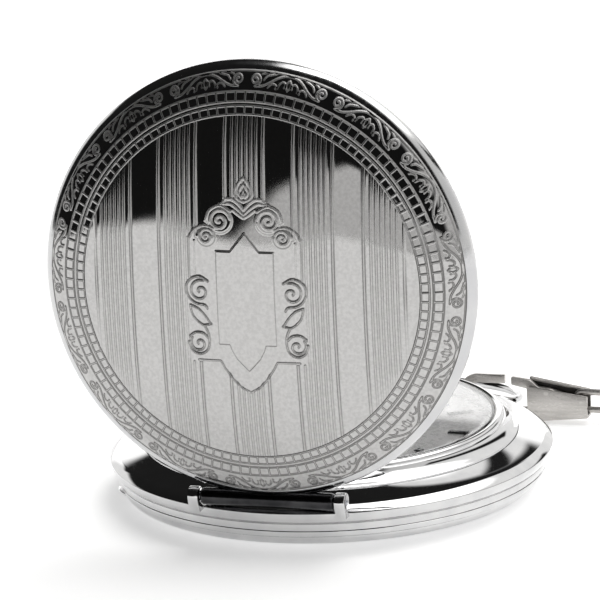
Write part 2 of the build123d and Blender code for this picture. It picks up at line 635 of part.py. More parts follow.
keep(train_wheel(CENTRE, (CENTRE_TEETH, CENTRE_M, 3.68, 0.24, bearing(CENTRE, THIRD)),
                 (CENTRE_LEAVES, BARREL_M, 2.9, 0.8, BARREL_ANGLE),
                 [(0.3, 1.45, 2.3), (0.6, 2.3, 4.05), (CENTRE_ARBOR_R, 4.05, 4.92), (0.4, 4.92, 6.75)]),
     "centre_wheel")
keep(train_wheel(THIRD, (THIRD_TEETH, THIRD_M, 2.45, 0.2, bearing(THIRD, FOURTH)),
                 (THIRD_LEAVES, CENTRE_M, 3.5, 0.5, bearing(THIRD, CENTRE)),
                 [(PIVOT_R, 1.45, 2.1), (0.35, 2.1, 4.05), (PIVOT_R, 4.05, 4.5)]), "third_wheel")
keep(train_wheel(FOURTH, (FOURTH_TEETH, FOURTH_M, 3.0, 0.2, bearing(FOURTH, ESCAPE)),
                 (FOURTH_LEAVES, THIRD_M, 2.3, 0.6, bearing(FOURTH, THIRD)),
                 [(PIVOT_R, 1.45, 2.1), (0.35, 2.1, 4.05), (0.2, 4.05, 6.25)]), "fourth_wheel")

with BuildPart() as escape_wheel:
    ESCAPE_TEETH = 15
    tooth_pitch = 360 / ESCAPE_TEETH
    corners = []
    for n in range(ESCAPE_TEETH):
        angle = LEVER_ANGLE + 12 + n * tooth_pitch
        corners += [polar(1.95, angle - 6, ESCAPE), polar(ESCAPE_TIP_R, angle - 1.5, ESCAPE),
                    polar(ESCAPE_TIP_R, angle + 1.5, ESCAPE), polar(1.95, angle + 3, ESCAPE)]
    extrude(outline(corners, Plane.XY.offset(3.57)), amount=0.18)
    with BuildSketch(Plane.XY.offset(3.57)):
        with Locations(ESCAPE):
            Circle(1.6)
            Circle(0.6, mode=Mode.SUBTRACT)
            Rectangle(4, 0.3, mode=Mode.SUBTRACT)
            Rectangle(0.3, 4, mode=Mode.SUBTRACT)
    extrude(amount=0.18, mode=Mode.SUBTRACT)
    extrude(gear(ESCAPE, ESCAPE_LEAVES, FOURTH_M, 2.85, bearing(ESCAPE, FOURTH), gap=True), amount=0.5)
    for radius, low, high in ((PIVOT_R, 1.45, 2.1), (0.22, 2.1, 4.05), (PIVOT_R, 4.05, 4.5)):
        extrude(disc(ESCAPE, radius, low), amount=high - low)
keep(escape_wheel.part, "escape_wheel")

LEVER_FRAME = Plane(origin=(*PALLET, 3.57), x_dir=(cos(radians(LEVER_ANGLE)), sin(radians(LEVER_ANGLE)), 0),
                    z_dir=(0, 0, 1))
with BuildPart() as pallet_fork:
    # arms with their stones towards the escape wheel, and the notched lever towards the balance
    lever = [(0.45, 0.2), (1.9, 0.16), (2.2, 0.52), (2.5, 0.52), (2.5, 0.38), (2.3, 0.34), (2.3, -0.34),
             (2.5, -0.38), (2.5, -0.52), (2.2, -0.52), (1.9, -0.16), (0.45, -0.2), (-0.3, -1.6), (-0.62, -1.5),
             (-0.25, -0.3), (-0.25, 0.3), (-0.62, 1.5), (-0.3, 1.6)]
    extrude(outline(lever, LEVER_FRAME), amount=0.18)
    extrude(disc(PALLET, 0.4, 3.57), amount=0.18)
    for radius, low, high in ((0.12, 3.2, 3.5), (0.2, 3.5, 4.05), (PIVOT_R, 4.05, 4.5)):
        extrude(disc(PALLET, radius, low), amount=high - low)
keep(pallet_fork.part, "pallet_fork")

with BuildPart() as balance_wheel:
    with BuildSketch(Plane.XY.offset(2.6)):
        with Locations(BALANCE):
            Circle(BALANCE_R)
            Circle(BALANCE_R - 0.5, mode=Mode.SUBTRACT)
    extrude(amount=0.5)
    with BuildSketch(Plane.XY.offset(2.75)):
        with Locations(BALANCE):
            Circle(0.75)
            for turn in (0, 60, 120):
                Rectangle(2 * BALANCE_R - 0.4, 0.32, rotation=turn + LEVER_ANGLE)
    extrude(amount=0.2)
    for radius, low, high in ((PIVOT_R, 1.45, 2.1), (0.3, 2.1, 3.3), (0.8, 3.3, 3.48), (0.18, 3.48, 4.05),
                              (PIVOT_R, 4.05, 4.5)):
        extrude(disc(BALANCE, radius, low), amount=high - low)
    # impulse pin
    extrude(disc(polar(0.55, LEVER_ANGLE + 180, BALANCE), 0.08, 3.48), amount=0.35)
keep(balance_wheel.part, "balance_wheel")

with BuildPart() as hairspring:
    extrude(spiral(BALANCE, 0.55, 2.45, 6, 0.08, 2.25), amount=0.16)
    extrude(disc(BALANCE, 0.62, 2.2, 0.3), amount=0.26)
keep(hairspring.part, "hairspring")

# ---------------------------------------------------------------- motion work, dial and hands
with BuildPart() as cannon_pinion:
    extrude(gear(CENTRE, CANNON_LEAVES, CANNON_M, 4.96, 200, gap=True), amount=0.2)
    extrude(disc(CENTRE, 0.68, 4.96), amount=1.74)
    extrude(disc(CENTRE, 0.55, 6.7), amount=0.3)
    extrude(disc(CENTRE, 0.4, 4.96), amount=1.79, mode=Mode.SUBTRACT)
keep(cannon_pinion.part, "cannon_pinion")

with BuildPart() as minute_wheel:
    extrude(gear(MINUTE_POST, MINUTE_TEETH, CANNON_M, 4.95, 20), amount=0.16)
    extrude(gear(MINUTE_POST, MINUTE_LEAVES, HOUR_M, 5.1, 20, gap=True), amount=0.32)
    extrude(disc(MINUTE_POST, 0.35 + SHAFT_GAP, 4.95), amount=1, mode=Mode.SUBTRACT)
keep(minute_wheel.part, "minute_wheel")

with BuildPart() as hour_wheel:
    extrude(gear(CENTRE, HOUR_TEETH, HOUR_M, 5.22, 200), amount=0.16)
    extrude(disc(CENTRE, 1.1, 5.22), amount=1.28)
    extrude(disc(CENTRE, 0.75, 5.22), amount=2, mode=Mode.SUBTRACT)
keep(hour_wheel.part, "hour_wheel")

SUBDIAL_R = 4.1
with BuildPart() as dial:
    extrude(disc(CENTRE, DIAL_R, DIAL_Z), amount=DIAL_TOP - DIAL_Z)
    extrude(disc(FOURTH, SUBDIAL_R, DIAL_TOP - 0.1), amount=0.2, mode=Mode.SUBTRACT)
    extrude(disc(CENTRE, 1.3, DIAL_Z), amount=1, mode=Mode.SUBTRACT)
    extrude(disc(FOURTH, 0.35, DIAL_Z), amount=1, mode=Mode.SUBTRACT)
    for spot in DIAL_FEET:
        extrude(disc(spot, 0.4, PLATE_Z + 0.1), amount=DIAL_Z - PLATE_Z - 0.1)
keep(dial.part, "dial")

with BuildPart() as hour_markers:
    for hour in range(12):
        width = 1.7 if hour == 0 else 0.8
        if hour != 6:
            with BuildSketch(Plane.XY.offset(DIAL_TOP)):
                with Locations(Location((*polar(14.3, 90 - 30 * hour), 0), (0, 0, 90 - 30 * hour))):
                    Rectangle(2.8, width)
            extrude(amount=0.2)
keep(hour_markers.part, "hour_markers")

keep(hand(8.6, 2.0, 0.75, 1.7, 1.1, HOUR_ANGLE, CENTRE, 6.3, 0.16), "hour_hand")
keep(hand(13.2, 2.8, 0.6, 1.1, 0.55, MINUTE_ANGLE, CENTRE, 6.75, 0.16), "minute_hand")
keep(hand(3.5, 1.3, 0.14, 0.4, 0.2, SECOND_ANGLE, FOURTH, 6.1, 0.1), "second_hand")

# ---------------------------------------------------------------- trouser clip
CLIP_NEAR = CLIP_Y - CLIP_DEPTH / 2
CLIP_FAR = CLIP_Y + CLIP_DEPTH / 2
GATE_PIN = (17.1, 3.45)
HOOK_PIN = (15.9, 1.1)
LOOP_PIN = (21.1, 2.5)


def flat(points, near, far):
    """Sheet piece standing in an XZ plane between two y values."""
    with BuildPart() as sheet:
        extrude(outline(points, Plane.XZ.offset(-near)), amount=near - far)
    return sheet.part


def cross_pin(spot, radius, near, far):
    """Round bar along Y."""
    with BuildPart() as bar:
        with BuildSketch(Plane.XZ.offset(-near)):
            with Locations(spot):
                Circle(radius)
        extrude(amount=near - far)
    return bar.part


with BuildPart() as clip_housing:
    add(flat([(14.95, 0.1), (21.75, 0.75), (21.75, 3.25), (14.95, 4.15)], CLIP_NEAR, CLIP_NEAR + CLIP_SHEET))
    add(flat([(14.95, 0.1), (21.75, 0.75), (21.75, 3.7), (14.95, 4.85)], CLIP_FAR - CLIP_SHEET, CLIP_FAR))
    add(flat([(14.95, 0.1), (21.75, 0.75), (21.75, 1.05), (14.95, 0.4)], CLIP_NEAR, CLIP_FAR))
    add(flat([(15.15, 4.52), (21.75, 3.4), (21.75, 3.7), (15.15, 4.81)], CLIP_FAR - 0.5, CLIP_FAR))
    for spot in (GATE_PIN, HOOK_PIN, LOOP_PIN):
        add(cross_pin(spot, CLIP_PIN_R, CLIP_NEAR - 1, CLIP_FAR + 1), mode=Mode.SUBTRACT)
keep(clip_housing.part, "clip_housing")

STRIP_NEAR = CLIP_Y - CLIP_STRIP / 2 - 0.03
STRIP_FAR = STRIP_NEAR + CLIP_STRIP
with BuildPart() as clip_hook:
    with BuildSketch(Plane.XZ.offset(-STRIP_NEAR)):
        with BuildLine():
            Polyline((12.3, 4.2), (12.3, 5.12), (9.4, 5.12))
            ThreePointArc((9.4, 5.12), (7.75, 4.55), (7.1, 3.1))
            ThreePointArc((7.1, 3.1), (8.05, 1.25), (9.8, 0.62))
            Polyline((9.8, 0.62), (16.7, 0.62), (16.7, 1.55), (10.2, 1.55))
            ThreePointArc((10.2, 1.55), (8.65, 2.0), (8.0, 3.1))
            ThreePointArc((8.0, 3.1), (8.5, 3.85), (9.7, 4.2))
            Line((9.7, 4.2), (12.3, 4.2))
        make_face()
    extrude(amount=STRIP_NEAR - STRIP_FAR)
    add(cross_pin(HOOK_PIN, CLIP_PIN_R, STRIP_NEAR - 1, STRIP_FAR + 1), mode=Mode.SUBTRACT)
keep(clip_hook.part, "clip_hook")

with BuildPart() as clip_gate:
    add(flat([(13.05, 4.1), (15.6, 3.55), (16.6, 2.95), (19.4, 2.75), (19.4, 3.2), (17.4, 3.95), (15.6, 4.6),
              (13.05, 4.95)], STRIP_NEAR, STRIP_FAR))
    add(cross_pin(GATE_PIN, CLIP_PIN_R + SHAFT_GAP, STRIP_NEAR - 1, STRIP_FAR + 1), mode=Mode.SUBTRACT)
keep(clip_gate.part, "clip_gate")

with BuildPart() as gate_spring:
    add(flat([(17.1, 1.1), (19.6, 1.35), (19.6, 1.47), (17.35, 1.25), (18.7, 2.6), (18.62, 2.7), (17.1, 1.22)],
             STRIP_NEAR, STRIP_FAR))
keep(gate_spring.part, "gate_spring")

with BuildPart() as clip_rivets:
    for spot in (GATE_PIN, HOOK_PIN, LOOP_PIN):
        add(cross_pin(spot, CLIP_PIN_R, CLIP_NEAR - 0.05, CLIP_FAR + 0.05))
        for face in (CLIP_NEAR - 0.2, CLIP_FAR + 0.05):
            add(cross_pin(spot, CLIP_PIN_R + 0.15, face, face + 0.15))
keep(clip_rivets.part, "clip_rivets")

LOOP_WIRE_R = 0.35
LOOP_PLANE_Y = CLIP_Y - 0.05
with BuildPart() as end_loop:
    with BuildLine(Plane.XZ.offset(-LOOP_PLANE_Y)):
        frame = FilletPolyline((20.35, 1.55), (27.2, 1.55), (27.2, 3.55), (20.35, 3.55), radius=0.7, close=True)
    with BuildSketch(Plane(origin=frame @ 0, z_dir=frame % 0)):
        Circle(LOOP_WIRE_R)
    sweep(path=frame)
keep(end_loop.part, "end_loop")
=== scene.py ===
"""Hunter pocket watch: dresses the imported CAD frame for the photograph's view.

Metres, in the CAD's frame. Profiles and places are written in millimetres and scaled once, when a
mesh is made. The engraving on the cover is real relief, from a height formula.
"""
import json
import math
import bmesh
import bpy
import numpy as np
from mathutils import Matrix, Vector


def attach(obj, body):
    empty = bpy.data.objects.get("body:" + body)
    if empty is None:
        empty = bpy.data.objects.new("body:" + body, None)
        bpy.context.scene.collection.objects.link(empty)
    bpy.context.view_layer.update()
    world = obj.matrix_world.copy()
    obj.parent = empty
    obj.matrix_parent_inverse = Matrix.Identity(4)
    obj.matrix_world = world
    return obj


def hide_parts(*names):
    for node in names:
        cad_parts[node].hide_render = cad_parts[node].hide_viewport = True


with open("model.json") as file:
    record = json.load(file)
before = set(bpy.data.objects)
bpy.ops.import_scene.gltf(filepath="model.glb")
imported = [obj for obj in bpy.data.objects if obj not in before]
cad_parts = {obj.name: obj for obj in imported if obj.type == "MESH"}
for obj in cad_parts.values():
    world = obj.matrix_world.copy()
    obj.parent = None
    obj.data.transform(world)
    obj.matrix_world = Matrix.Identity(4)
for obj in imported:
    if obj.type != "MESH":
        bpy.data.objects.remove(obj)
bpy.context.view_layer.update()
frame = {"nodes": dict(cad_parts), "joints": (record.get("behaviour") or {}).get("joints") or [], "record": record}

MM = 0.001
NODES = frame["nodes"]
SCENE = bpy.context.scene


# ---------------------------------------- places read from the frame
JOINTS = {joint["name"]: joint for joint in frame["joints"]}
HINGE = np.array(JOINTS["lid_hinge"]["pos_m"]) / MM
OPEN = math.radians(-JOINTS["lid_hinge"]["range_deg"][0])
RIM_Z = 5.5                                                  # rim plane of the shut cover
SIDE = np.array([1.0, 0.0, 0.0])
TOP = np.array([0.0, math.cos(OPEN), math.sin(OPEN)])        # from the hinge towards the catch
OUT = np.array([0.0, -math.sin(OPEN), math.cos(OPEN)])       # out of the cover's dome
COVER = (HINGE - TOP * HINGE[1] + OUT * (RIM_Z - HINGE[2]), SIDE, TOP, OUT)
CASE = (np.zeros(3), SIDE, np.array([0.0, 1.0, 0.0]), np.array([0.0, 0.0, 1.0]))
STEM_Z = JOINTS["crown_turn"]["pos_m"][2] / MM
STEM = (np.array([0.0, 0.0, STEM_Z]), np.array([0.0, 0.0, 1.0]), SIDE, np.array([0.0, 1.0, 0.0]))


# ---------------------------------------- node materials
class Nodes:
    """Short way to build a node tree."""

    def __init__(self, tree):
        self.tree = tree
        tree.nodes.clear()

    def add(self, kind, **settings):
        node = self.tree.nodes.new(kind)
        for key, value in settings.items():
            setattr(node, key, value)
        return node

    def link(self, source, target):
        self.tree.links.new(source, target)

    def math(self, operation, a, b=0.0, c=0.0):
        node = self.add("ShaderNodeMath", operation=operation)
        for socket, value in zip(node.inputs, (a, b, c)):
            if isinstance(value, (int, float)):
                socket.default_value = value
            else:
                self.link(value, socket)
        return node.outputs[0]

    def ramp(self, value, low, high, start=0.0, end=1.0, smooth=True):
        """Value moved from the range low..high to start..end, held at both ends."""
        node = self.add("ShaderNodeMapRange", interpolation_type="SMOOTHSTEP" if smooth else "LINEAR")
        self.link(value, node.inputs["Value"])
        for name, number in (("From Min", low), ("From Max", high), ("To Min", start), ("To Max", end)):
            node.inputs[name].default_value = number
        return node.outputs[0]

    def noise(self, scale, detail, stretch):
        """Noise over the object's own coordinates, scale in cells per millimetre."""
        coordinates = self.add("ShaderNodeTexCoord")
        mapping = self.add("ShaderNodeMapping")
        mapping.inputs["Scale"].default_value = [s / MM for s in stretch]
        self.link(coordinates.outputs["Object"], mapping.inputs["Vector"])
        node = self.add("ShaderNodeTexNoise")
        node.inputs["Scale"].default_value = scale
        node.inputs["Detail"].default_value = detail
        self.link(mapping.outputs[0], node.inputs["Vector"])
        return node.outputs["Fac"]

    def tint(self, value, first, second):
        """Mix of two colours, each a linear triple or another node's output."""
        node = self.add("ShaderNodeMix", data_type="RGBA")
        for socket, colour in zip((node.inputs[6], node.inputs[7]), (first, second)):
            if isinstance(colour, tuple):
                socket.default_value = (*colour, 1)
            else:
                self.link(colour, socket)
        self.link(value, node.inputs[0])
        return node.outputs[2]


FROST = 0.64                          # roughness of the engraving's tooled flanks
MOTTLE = (0.3, 0.7)                   # span of the noise that is spread over a finish
MOTTLE_DETAIL, FINE_DETAIL = 4.0, 3.0
FINE_GRAIN = 9                        # the fine noise's scale over the mottling's
BUMP_DEPTH = 0.02                     # millimetres


def finish(name, dark, light, rough, metal=1.0, grain=0.4, stretch=(1, 1, 1), bump=0.0, coat=0.0, flank_shade=None,
           **sockets):
    """Surface with mottled colour, uneven roughness and optional fine relief; rough is (low, high).

    The second colour is painted shade, laid on where the painted-shade vertex attribute is 1; on such a finish the
    attribute frost roughens the surface.
    """
    material = bpy.data.materials.new(name)
    material.use_nodes = True
    nodes = Nodes(material.node_tree)
    shader = nodes.add("ShaderNodeBsdfPrincipled")
    output = nodes.add("ShaderNodeOutputMaterial")
    nodes.link(shader.outputs[0], output.inputs["Surface"])
    cloud = nodes.noise(grain, MOTTLE_DETAIL, stretch)
    fine = nodes.noise(grain * FINE_GRAIN, FINE_DETAIL, stretch)
    colour = nodes.tint(nodes.ramp(cloud, *MOTTLE), dark, light)
    # painted shade: the surface is darkened towards the second colour by a vertex attribute
    if flank_shade:
        shade_mask = nodes.add("ShaderNodeAttribute", attribute_name="flank_shade")
        colour = nodes.tint(shade_mask.outputs["Fac"], colour, flank_shade)
    nodes.link(colour, shader.inputs["Base Color"])
    roughness = nodes.ramp(fine, *MOTTLE, *rough)
    if flank_shade:
        frosted = nodes.add("ShaderNodeAttribute", attribute_name="frost")
        scattered = nodes.math("MULTIPLY", frosted.outputs["Fac"], FROST)
        roughness = nodes.math("MAXIMUM", roughness, scattered)
    nodes.link(roughness, shader.inputs["Roughness"])
    shader.inputs["Metallic"].default_value = metal
    shader.inputs["Coat Weight"].default_value = coat
    for key, value in sockets.items():
        shader.inputs[key.replace("_", " ")].default_value = value
    if bump:
        relief = nodes.add("ShaderNodeBump")
        relief.inputs["Strength"].default_value = bump
        relief.inputs["Distance"].default_value = BUMP_DEPTH * MM
        nodes.link(fine, relief.inputs["Height"])
        nodes.link(relief.outputs[0], shader.inputs["Normal"])
    return material


POLISHED = finish("polished_case", (0.58, 0.58, 0.585), (0.64, 0.64, 0.64), (0.03, 0.06))
# the engraved cover's second colour is painted shade on the engraving's flanks
ENGRAVED = finish("engraved_cover", (0.455, 0.45, 0.445), (0.52, 0.515, 0.51), (0.02, 0.045), grain=3.0,
                  bump=0.03, flank_shade=(0.09, 0.088, 0.085))
INNER = finish("cover_inside", (0.56, 0.56, 0.57), (0.62, 0.62, 0.62), (0.08, 0.16), grain=0.25)
# painted shade: near-black colour on the cover's knuckle stands in for the shade and dark reflection between the
# hinge posts
HINGE_SHADE = finish("hinge_painted_shade", (0.03, 0.03, 0.032), (0.06, 0.06, 0.062), (0.12, 0.25), grain=0.6)
SATIN = finish("satin_clip", (0.44, 0.425, 0.405), (0.54, 0.52, 0.50), (0.26, 0.40), grain=0.5,
               stretch=(0.5, 3, 5), bump=0.12)
# painted shade for the inside face of the clip's far wall
CLIP_INSIDE_SHADE = finish("clip_inside_shade", (0.05, 0.048, 0.046), (0.09, 0.086, 0.082), (0.35, 0.5))
GLASS = finish("crystal_glass", (0.95, 0.95, 0.955), (0.98, 0.98, 0.985), (0.01, 0.04), metal=0.0,
               grain=0.1, Transmission_Weight=1.0, IOR=1.62)
NYLON = finish("nylon_gasket", (0.62, 0.62, 0.60), (0.70, 0.70, 0.68), (0.35, 0.5), metal=0.0)
SPACER = finish("spacer_plastic", (0.012, 0.012, 0.013), (0.02, 0.02, 0.021), (0.35, 0.5), metal=0.0)
ENAMEL = finish("dial_enamel", (0.80, 0.795, 0.78), (0.85, 0.845, 0.83), (0.25, 0.32), metal=0.0, grain=0.2,
                coat=0.3)
LACQUER = finish("black_lacquer", (0.008, 0.008, 0.009), (0.015, 0.015, 0.016), (0.10, 0.18), metal=0.0,
                 coat=0.4)
NICKEL = finish("movement_nickel", (0.50, 0.49, 0.46), (0.62, 0.61, 0.57), (0.16, 0.30), grain=0.3,
                stretch=(3, 0.3, 1), bump=0.1)
BRASS = finish("train_brass", (0.62, 0.44, 0.17), (0.74, 0.55, 0.24), (0.15, 0.27))
BLUED = finish("blued_steel", (0.012, 0.025, 0.13), (0.02, 0.045, 0.22), (0.08, 0.16))
SPRING = finish("spring_steel", (0.34, 0.35, 0.37), (0.46, 0.47, 0.49), (0.14, 0.26), stretch=(2, 0.5, 1))
RUBY = finish("ruby_jewel", (0.55, 0.01, 0.05), (0.72, 0.03, 0.10), (0.04, 0.08), metal=0.0,
              Transmission_Weight=0.5, IOR=1.76)
FINISHES = {
    "polished_case": POLISHED, "satin_clip": SATIN, "crystal_glass": GLASS, "nylon_gasket": NYLON,
    "spacer_plastic": SPACER, "dial_enamel": ENAMEL, "black_lacquer": LACQUER, "movement_nickel": NICKEL,
    "train_brass": BRASS, "blued_steel": BLUED, "spring_steel": SPRING, "ruby_jewel": RUBY}
for part in frame["record"]["subparts"]:
    mesh = NODES[part["node"]].data
    mesh.materials.clear()
    mesh.materials.append(FINISHES[part["material_slot"]])


# ---------------------------------------- meshes
def new_piece(name, verts, faces, body, material, replaced=(), sharp=35, slot=None):
    """Piece from vertices in millimetres, riding on a body."""
    mesh = bpy.data.meshes.new(name)
    mesh.from_pydata((np.asarray(verts, float) * MM).tolist(), [], faces)
    piece = bpy.data.objects.new(name, mesh)
    SCENE.collection.objects.link(piece)
    mesh.materials.append(material)
    shell = bmesh.new()
    shell.from_mesh(mesh)
    bmesh.ops.recalc_face_normals(shell, faces=shell.faces)
    shell.to_mesh(mesh)
    shell.free()
    mesh.shade_smooth()
    mesh.set_sharp_from_angle(angle=math.radians(sharp))
    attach(piece, body)
    if replaced:
        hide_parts(*replaced)
    return piece


def place(axes, x, y, z):
    """Points from coordinates along a frame's axes."""
    origin, first, second, third = axes
    x, y, z = np.broadcast_arrays(x, y, z)
    return origin + x[..., None] * first + y[..., None] * second + z[..., None] * third


def arc(start, middle, end, steps=8):
    """Points on the circle through three points, without its start."""
    (ax, ay), (bx, by), (cx, cy) = start, middle, end
    a, b, c = ax ** 2 + ay ** 2, bx ** 2 + by ** 2, cx ** 2 + cy ** 2
    turn = 2 * (ax * (by - cy) + bx * (cy - ay) + cx * (ay - by))
    ux = (a * (by - cy) + b * (cy - ay) + c * (ay - by)) / turn
    uy = (a * (cx - bx) + b * (ax - cx) + c * (bx - ax)) / turn
    radius = math.hypot(ax - ux, ay - uy)
    first = math.atan2(ay - uy, ax - ux)
    sweep = math.remainder(math.atan2(cy - uy, cx - ux) - first, 2 * math.pi)
    angles = [first + sweep * n / steps for n in range(1, steps + 1)]
    return [(ux + radius * math.cos(angle), uy + radius * math.sin(angle)) for angle in angles]


def rounded(points, radius, steps=3, closed=True):
    """Corners of an outline eased by small curves."""
    points = [np.array(p, float) for p in points]
    result = []
    for n, corner in enumerate(points):
        if not closed and n in (0, len(points) - 1):
            result.append(corner)
            continue
        before, after = points[n - 1], points[(n + 1) % len(points)]
        back, ahead = before - corner, after - corner
        cut = min(radius, 0.4 * np.linalg.norm(back), 0.4 * np.linalg.norm(ahead))
        a = corner + back / np.linalg.norm(back) * cut
        b = corner + ahead / np.linalg.norm(ahead) * cut
        for t in np.linspace(0, 1, steps + 1):
            result.append((1 - t) ** 2 * a + 2 * t * (1 - t) * corner + t * t * b)
    return result


def lathe(name, profile, body, material, axes=CASE, segments=360, replaced=(), shape=None, sharp=35,
          slot=None):
    """Turned piece. The profile is a closed loop of (radius, height); shape may move the points."""
    profile = np.array(profile, float)
    turn = np.linspace(0, 2 * math.pi, segments, endpoint=False)
    radius, angle = np.meshgrid(profile[:, 0], turn)
    height = np.broadcast_to(profile[:, 1], radius.shape)
    if shape:
        radius, height = shape(radius, height, angle)
    verts = place(axes, radius * np.cos(angle), radius * np.sin(angle), height).reshape(-1, 3)
    count = len(profile)
    pole = profile[:, 0] < 1e-9
    index = np.arange(segments * count).reshape(segments, count)
    index[:, pole] = index[0, pole]
    faces = []
    for i in range(segments):
        here, there = index[i], index[(i + 1) % segments]
        for j in range(count):
            k = (j + 1) % count
            loop = list(dict.fromkeys((here[j], here[k], there[k], there[j])))
            if len(loop) > 2:
                faces.append([int(v) for v in loop])
    used = sorted({v for face in faces for v in face})
    renumber = {old: new for new, old in enumerate(used)}
    faces = [[renumber[v] for v in face] for face in faces]
    return new_piece(name, verts[used], faces, body, material, replaced, sharp, slot)


def plate(name, top, under, rows, wrap, body, material, sharp=60):
    """Closed plate between a fine grid of points and a coarser underside on the given rows."""
    m, n = top.shape[:2]
    k = len(rows)
    verts = np.vstack([top.reshape(-1, 3), under[:, rows].reshape(-1, 3)])

    def upper(i, j):
        return (i % m) * n + j

    def lower(i, j):
        return m * n + (i % m) * k + j

    faces = []
    for i in range(m if wrap else m - 1):
        faces += [[upper(i, j), upper(i + 1, j), upper(i + 1, j + 1), upper(i, j + 1)] for j in range(n - 1)]
        faces += [[lower(i, j), lower(i, j + 1), lower(i + 1, j + 1), lower(i + 1, j)] for j in range(k - 1)]
        faces.append([upper(i + 1, 0), upper(i, 0), lower(i, 0), lower(i + 1, 0)])
        faces.append([upper(i, n - 1), upper(i + 1, n - 1), lower(i + 1, k - 1), lower(i, k - 1)])
    if not wrap:
        for i in (0, m - 1):
            for j in range(k - 1):
                run = [upper(i, q) for q in range(rows[j], rows[j + 1] + 1)]
                faces.append(run + [lower(i, j + 1), lower(i, j)])
    return new_piece(name, verts, faces, body, material, sharp=sharp)


def inset(outline, distance):
    """Closed outline moved inwards, corner by corner."""
    outline = np.array(outline, float)
    before, after = np.roll(outline, 1, 0), np.roll(outline, -1, 0)
    area = np.sum(outline[:, 0] * after[:, 1] - after[:, 0] * outline[:, 1])
    first, second = outline - before, after - outline
    first /= np.linalg.norm(first, axis=1)[:, None]
    second /= np.linalg.norm(second, axis=1)[:, None]
    normal = np.stack([-(first + second)[:, 1], (first + second)[:, 0]], 1)
    normal /= np.linalg.norm(normal, axis=1)[:, None]
    share = np.clip(normal[:, 0] * -first[:, 1] + normal[:, 1] * first[:, 0], 0.5, 1)
    return outline + normal * (distance / share * math.copysign(1, area))[:, None]


def prism(outline, low, high, axes, bevel=0.06):
    """Vertices and faces of an outline drawn out along the third axis, its edges eased."""
    outline = np.array(outline, float)
    half = bevel * 0.3
    rings = [(low, inset(outline, bevel)), (low + half, inset(outline, half)), (low + bevel, outline),
             (high - bevel, outline), (high - half, inset(outline, half)), (high, inset(outline, bevel))]
    verts = np.vstack([place(axes, ring[:, 0], ring[:, 1], level) for level, ring in rings])
    count = len(outline)
    faces = [list(range(count))[::-1], [5 * count + n for n in range(count)]]
    for r in range(5):
        for n in range(count):
            m = (n + 1) % count
            faces.append([r * count + n, r * count + m, (r + 1) * count + m, (r + 1) * count + n])
    return verts, faces


def joined(parts):
    """Several closed shells as one mesh."""
    verts, faces = [], []
    for part_verts, part_faces in parts:
        start = sum(len(v) for v in verts)
        verts.append(part_verts)
        faces += [[start + n for n in face] for face in part_faces]
    return np.vstack(verts), faces


def wire(name, points, radii, body, material, closed=False, around=20, replaced=(), slot=None):
    """Round wire along points, with its ends closed."""
    points = np.array(points, float)
    count = len(points)
    radii = np.broadcast_to(np.array(radii, float), (count,))
    if closed:
        along = np.roll(points, -1, 0) - np.roll(points, 1, 0)
    else:
        along = np.gradient(points, axis=0)
    along /= np.linalg.norm(along, axis=1)[:, None]
    side = np.cross(along[0], (0.31, 0.42, 0.85))
    side /= np.linalg.norm(side)
    turn = np.linspace(0, 2 * math.pi, around, endpoint=False)
    verts, sides = [], []
    for n in range(count):
        side = side - along[n] * np.dot(side, along[n])
        side /= np.linalg.norm(side)
        sides.append(side)
    twist = 0.0
    if closed:
        # share out the turn that is left when the frame comes back to its start
        last = sides[-1] - along[0] * np.dot(sides[-1], along[0])
        twist = math.atan2(np.dot(np.cross(sides[0], last), along[0]), np.dot(sides[0], last))
    for n in range(count):
        other = np.cross(along[n], sides[n])
        angles = turn - twist * n / count
        round_it = np.cos(angles)[:, None] * sides[n] + np.sin(angles)[:, None] * other
        verts.append(points[n] + radii[n] * round_it)
    verts = np.vstack(verts)
    faces = []
    for n in range(count if closed else count - 1):
        here, there = n * around, (n + 1) % count * around
        for k in range(around):
            m = (k + 1) % around
            faces.append([here + k, here + m, there + m, there + k])
    if not closed:
        faces += [list(range(around))[::-1], [(count - 1) * around + k for k in range(around)]]
    return new_piece(name, verts, faces, body, material, replaced, sharp=50, slot=slot)


# ---------------------------------------- the cover's dome
class Dome:
    """Smooth profile of height over radius, level at the middle."""

    def __init__(self, radii, heights, end_slope):
        self.x = np.array(radii, float)
        self.y = np.array(heights, float)
        count = len(radii)
        gaps = np.diff(self.x)
        matrix = np.eye(count)
        right = np.zeros(count)
        right[-1] = end_slope
        for i in range(1, count - 1):
            before, after = gaps[i - 1], gaps[i]
            matrix[i, i - 1:i + 2] = 1 / before, 2 / before + 2 / after, 1 / after
            right[i] = 3 * ((self.y[i] - self.y[i - 1]) / before ** 2
                            + (self.y[i + 1] - self.y[i]) / after ** 2)
        self.slope = np.linalg.solve(matrix, right)

    def __call__(self, radius):
        radius = np.asarray(radius, float)
        i = np.clip(np.searchsorted(self.x, radius) - 1, 0, len(self.x) - 2)
        gap = self.x[i + 1] - self.x[i]
        t = (radius - self.x[i]) / gap
        return ((2 * t ** 3 - 3 * t ** 2 + 1) * self.y[i] + (t ** 3 - 2 * t ** 2 + t) * gap * self.slope[i]
                + (3 * t ** 2 - 2 * t ** 3) * self.y[i + 1] + (t ** 3 - t ** 2) * gap * self.slope[i + 1])


RIM_R = 22.7              # outside of the rim
FIELD_R = 17.6            # engraved field, inside the ladder border
FIELD_SEAM = 6.9          # from the middle to the edge between the field's centre and side plates
LADDER_R = 20.15          # outer edge of the ladder border
SCROLL_R = 21.9           # outer edge of the scroll border
LINER_R = 21.45           # outer edge of the inside's dome
SHEET = 0.5               # thickness of the rim
PLATE_DEPTH = 0.3         # from the engraved surface down to the plates' underside
dome = Dome((0, 10, 17.7, 20.1, SCROLL_R), (5.4, 4.82, 3.55, 2.65, 1.35), -1.0)


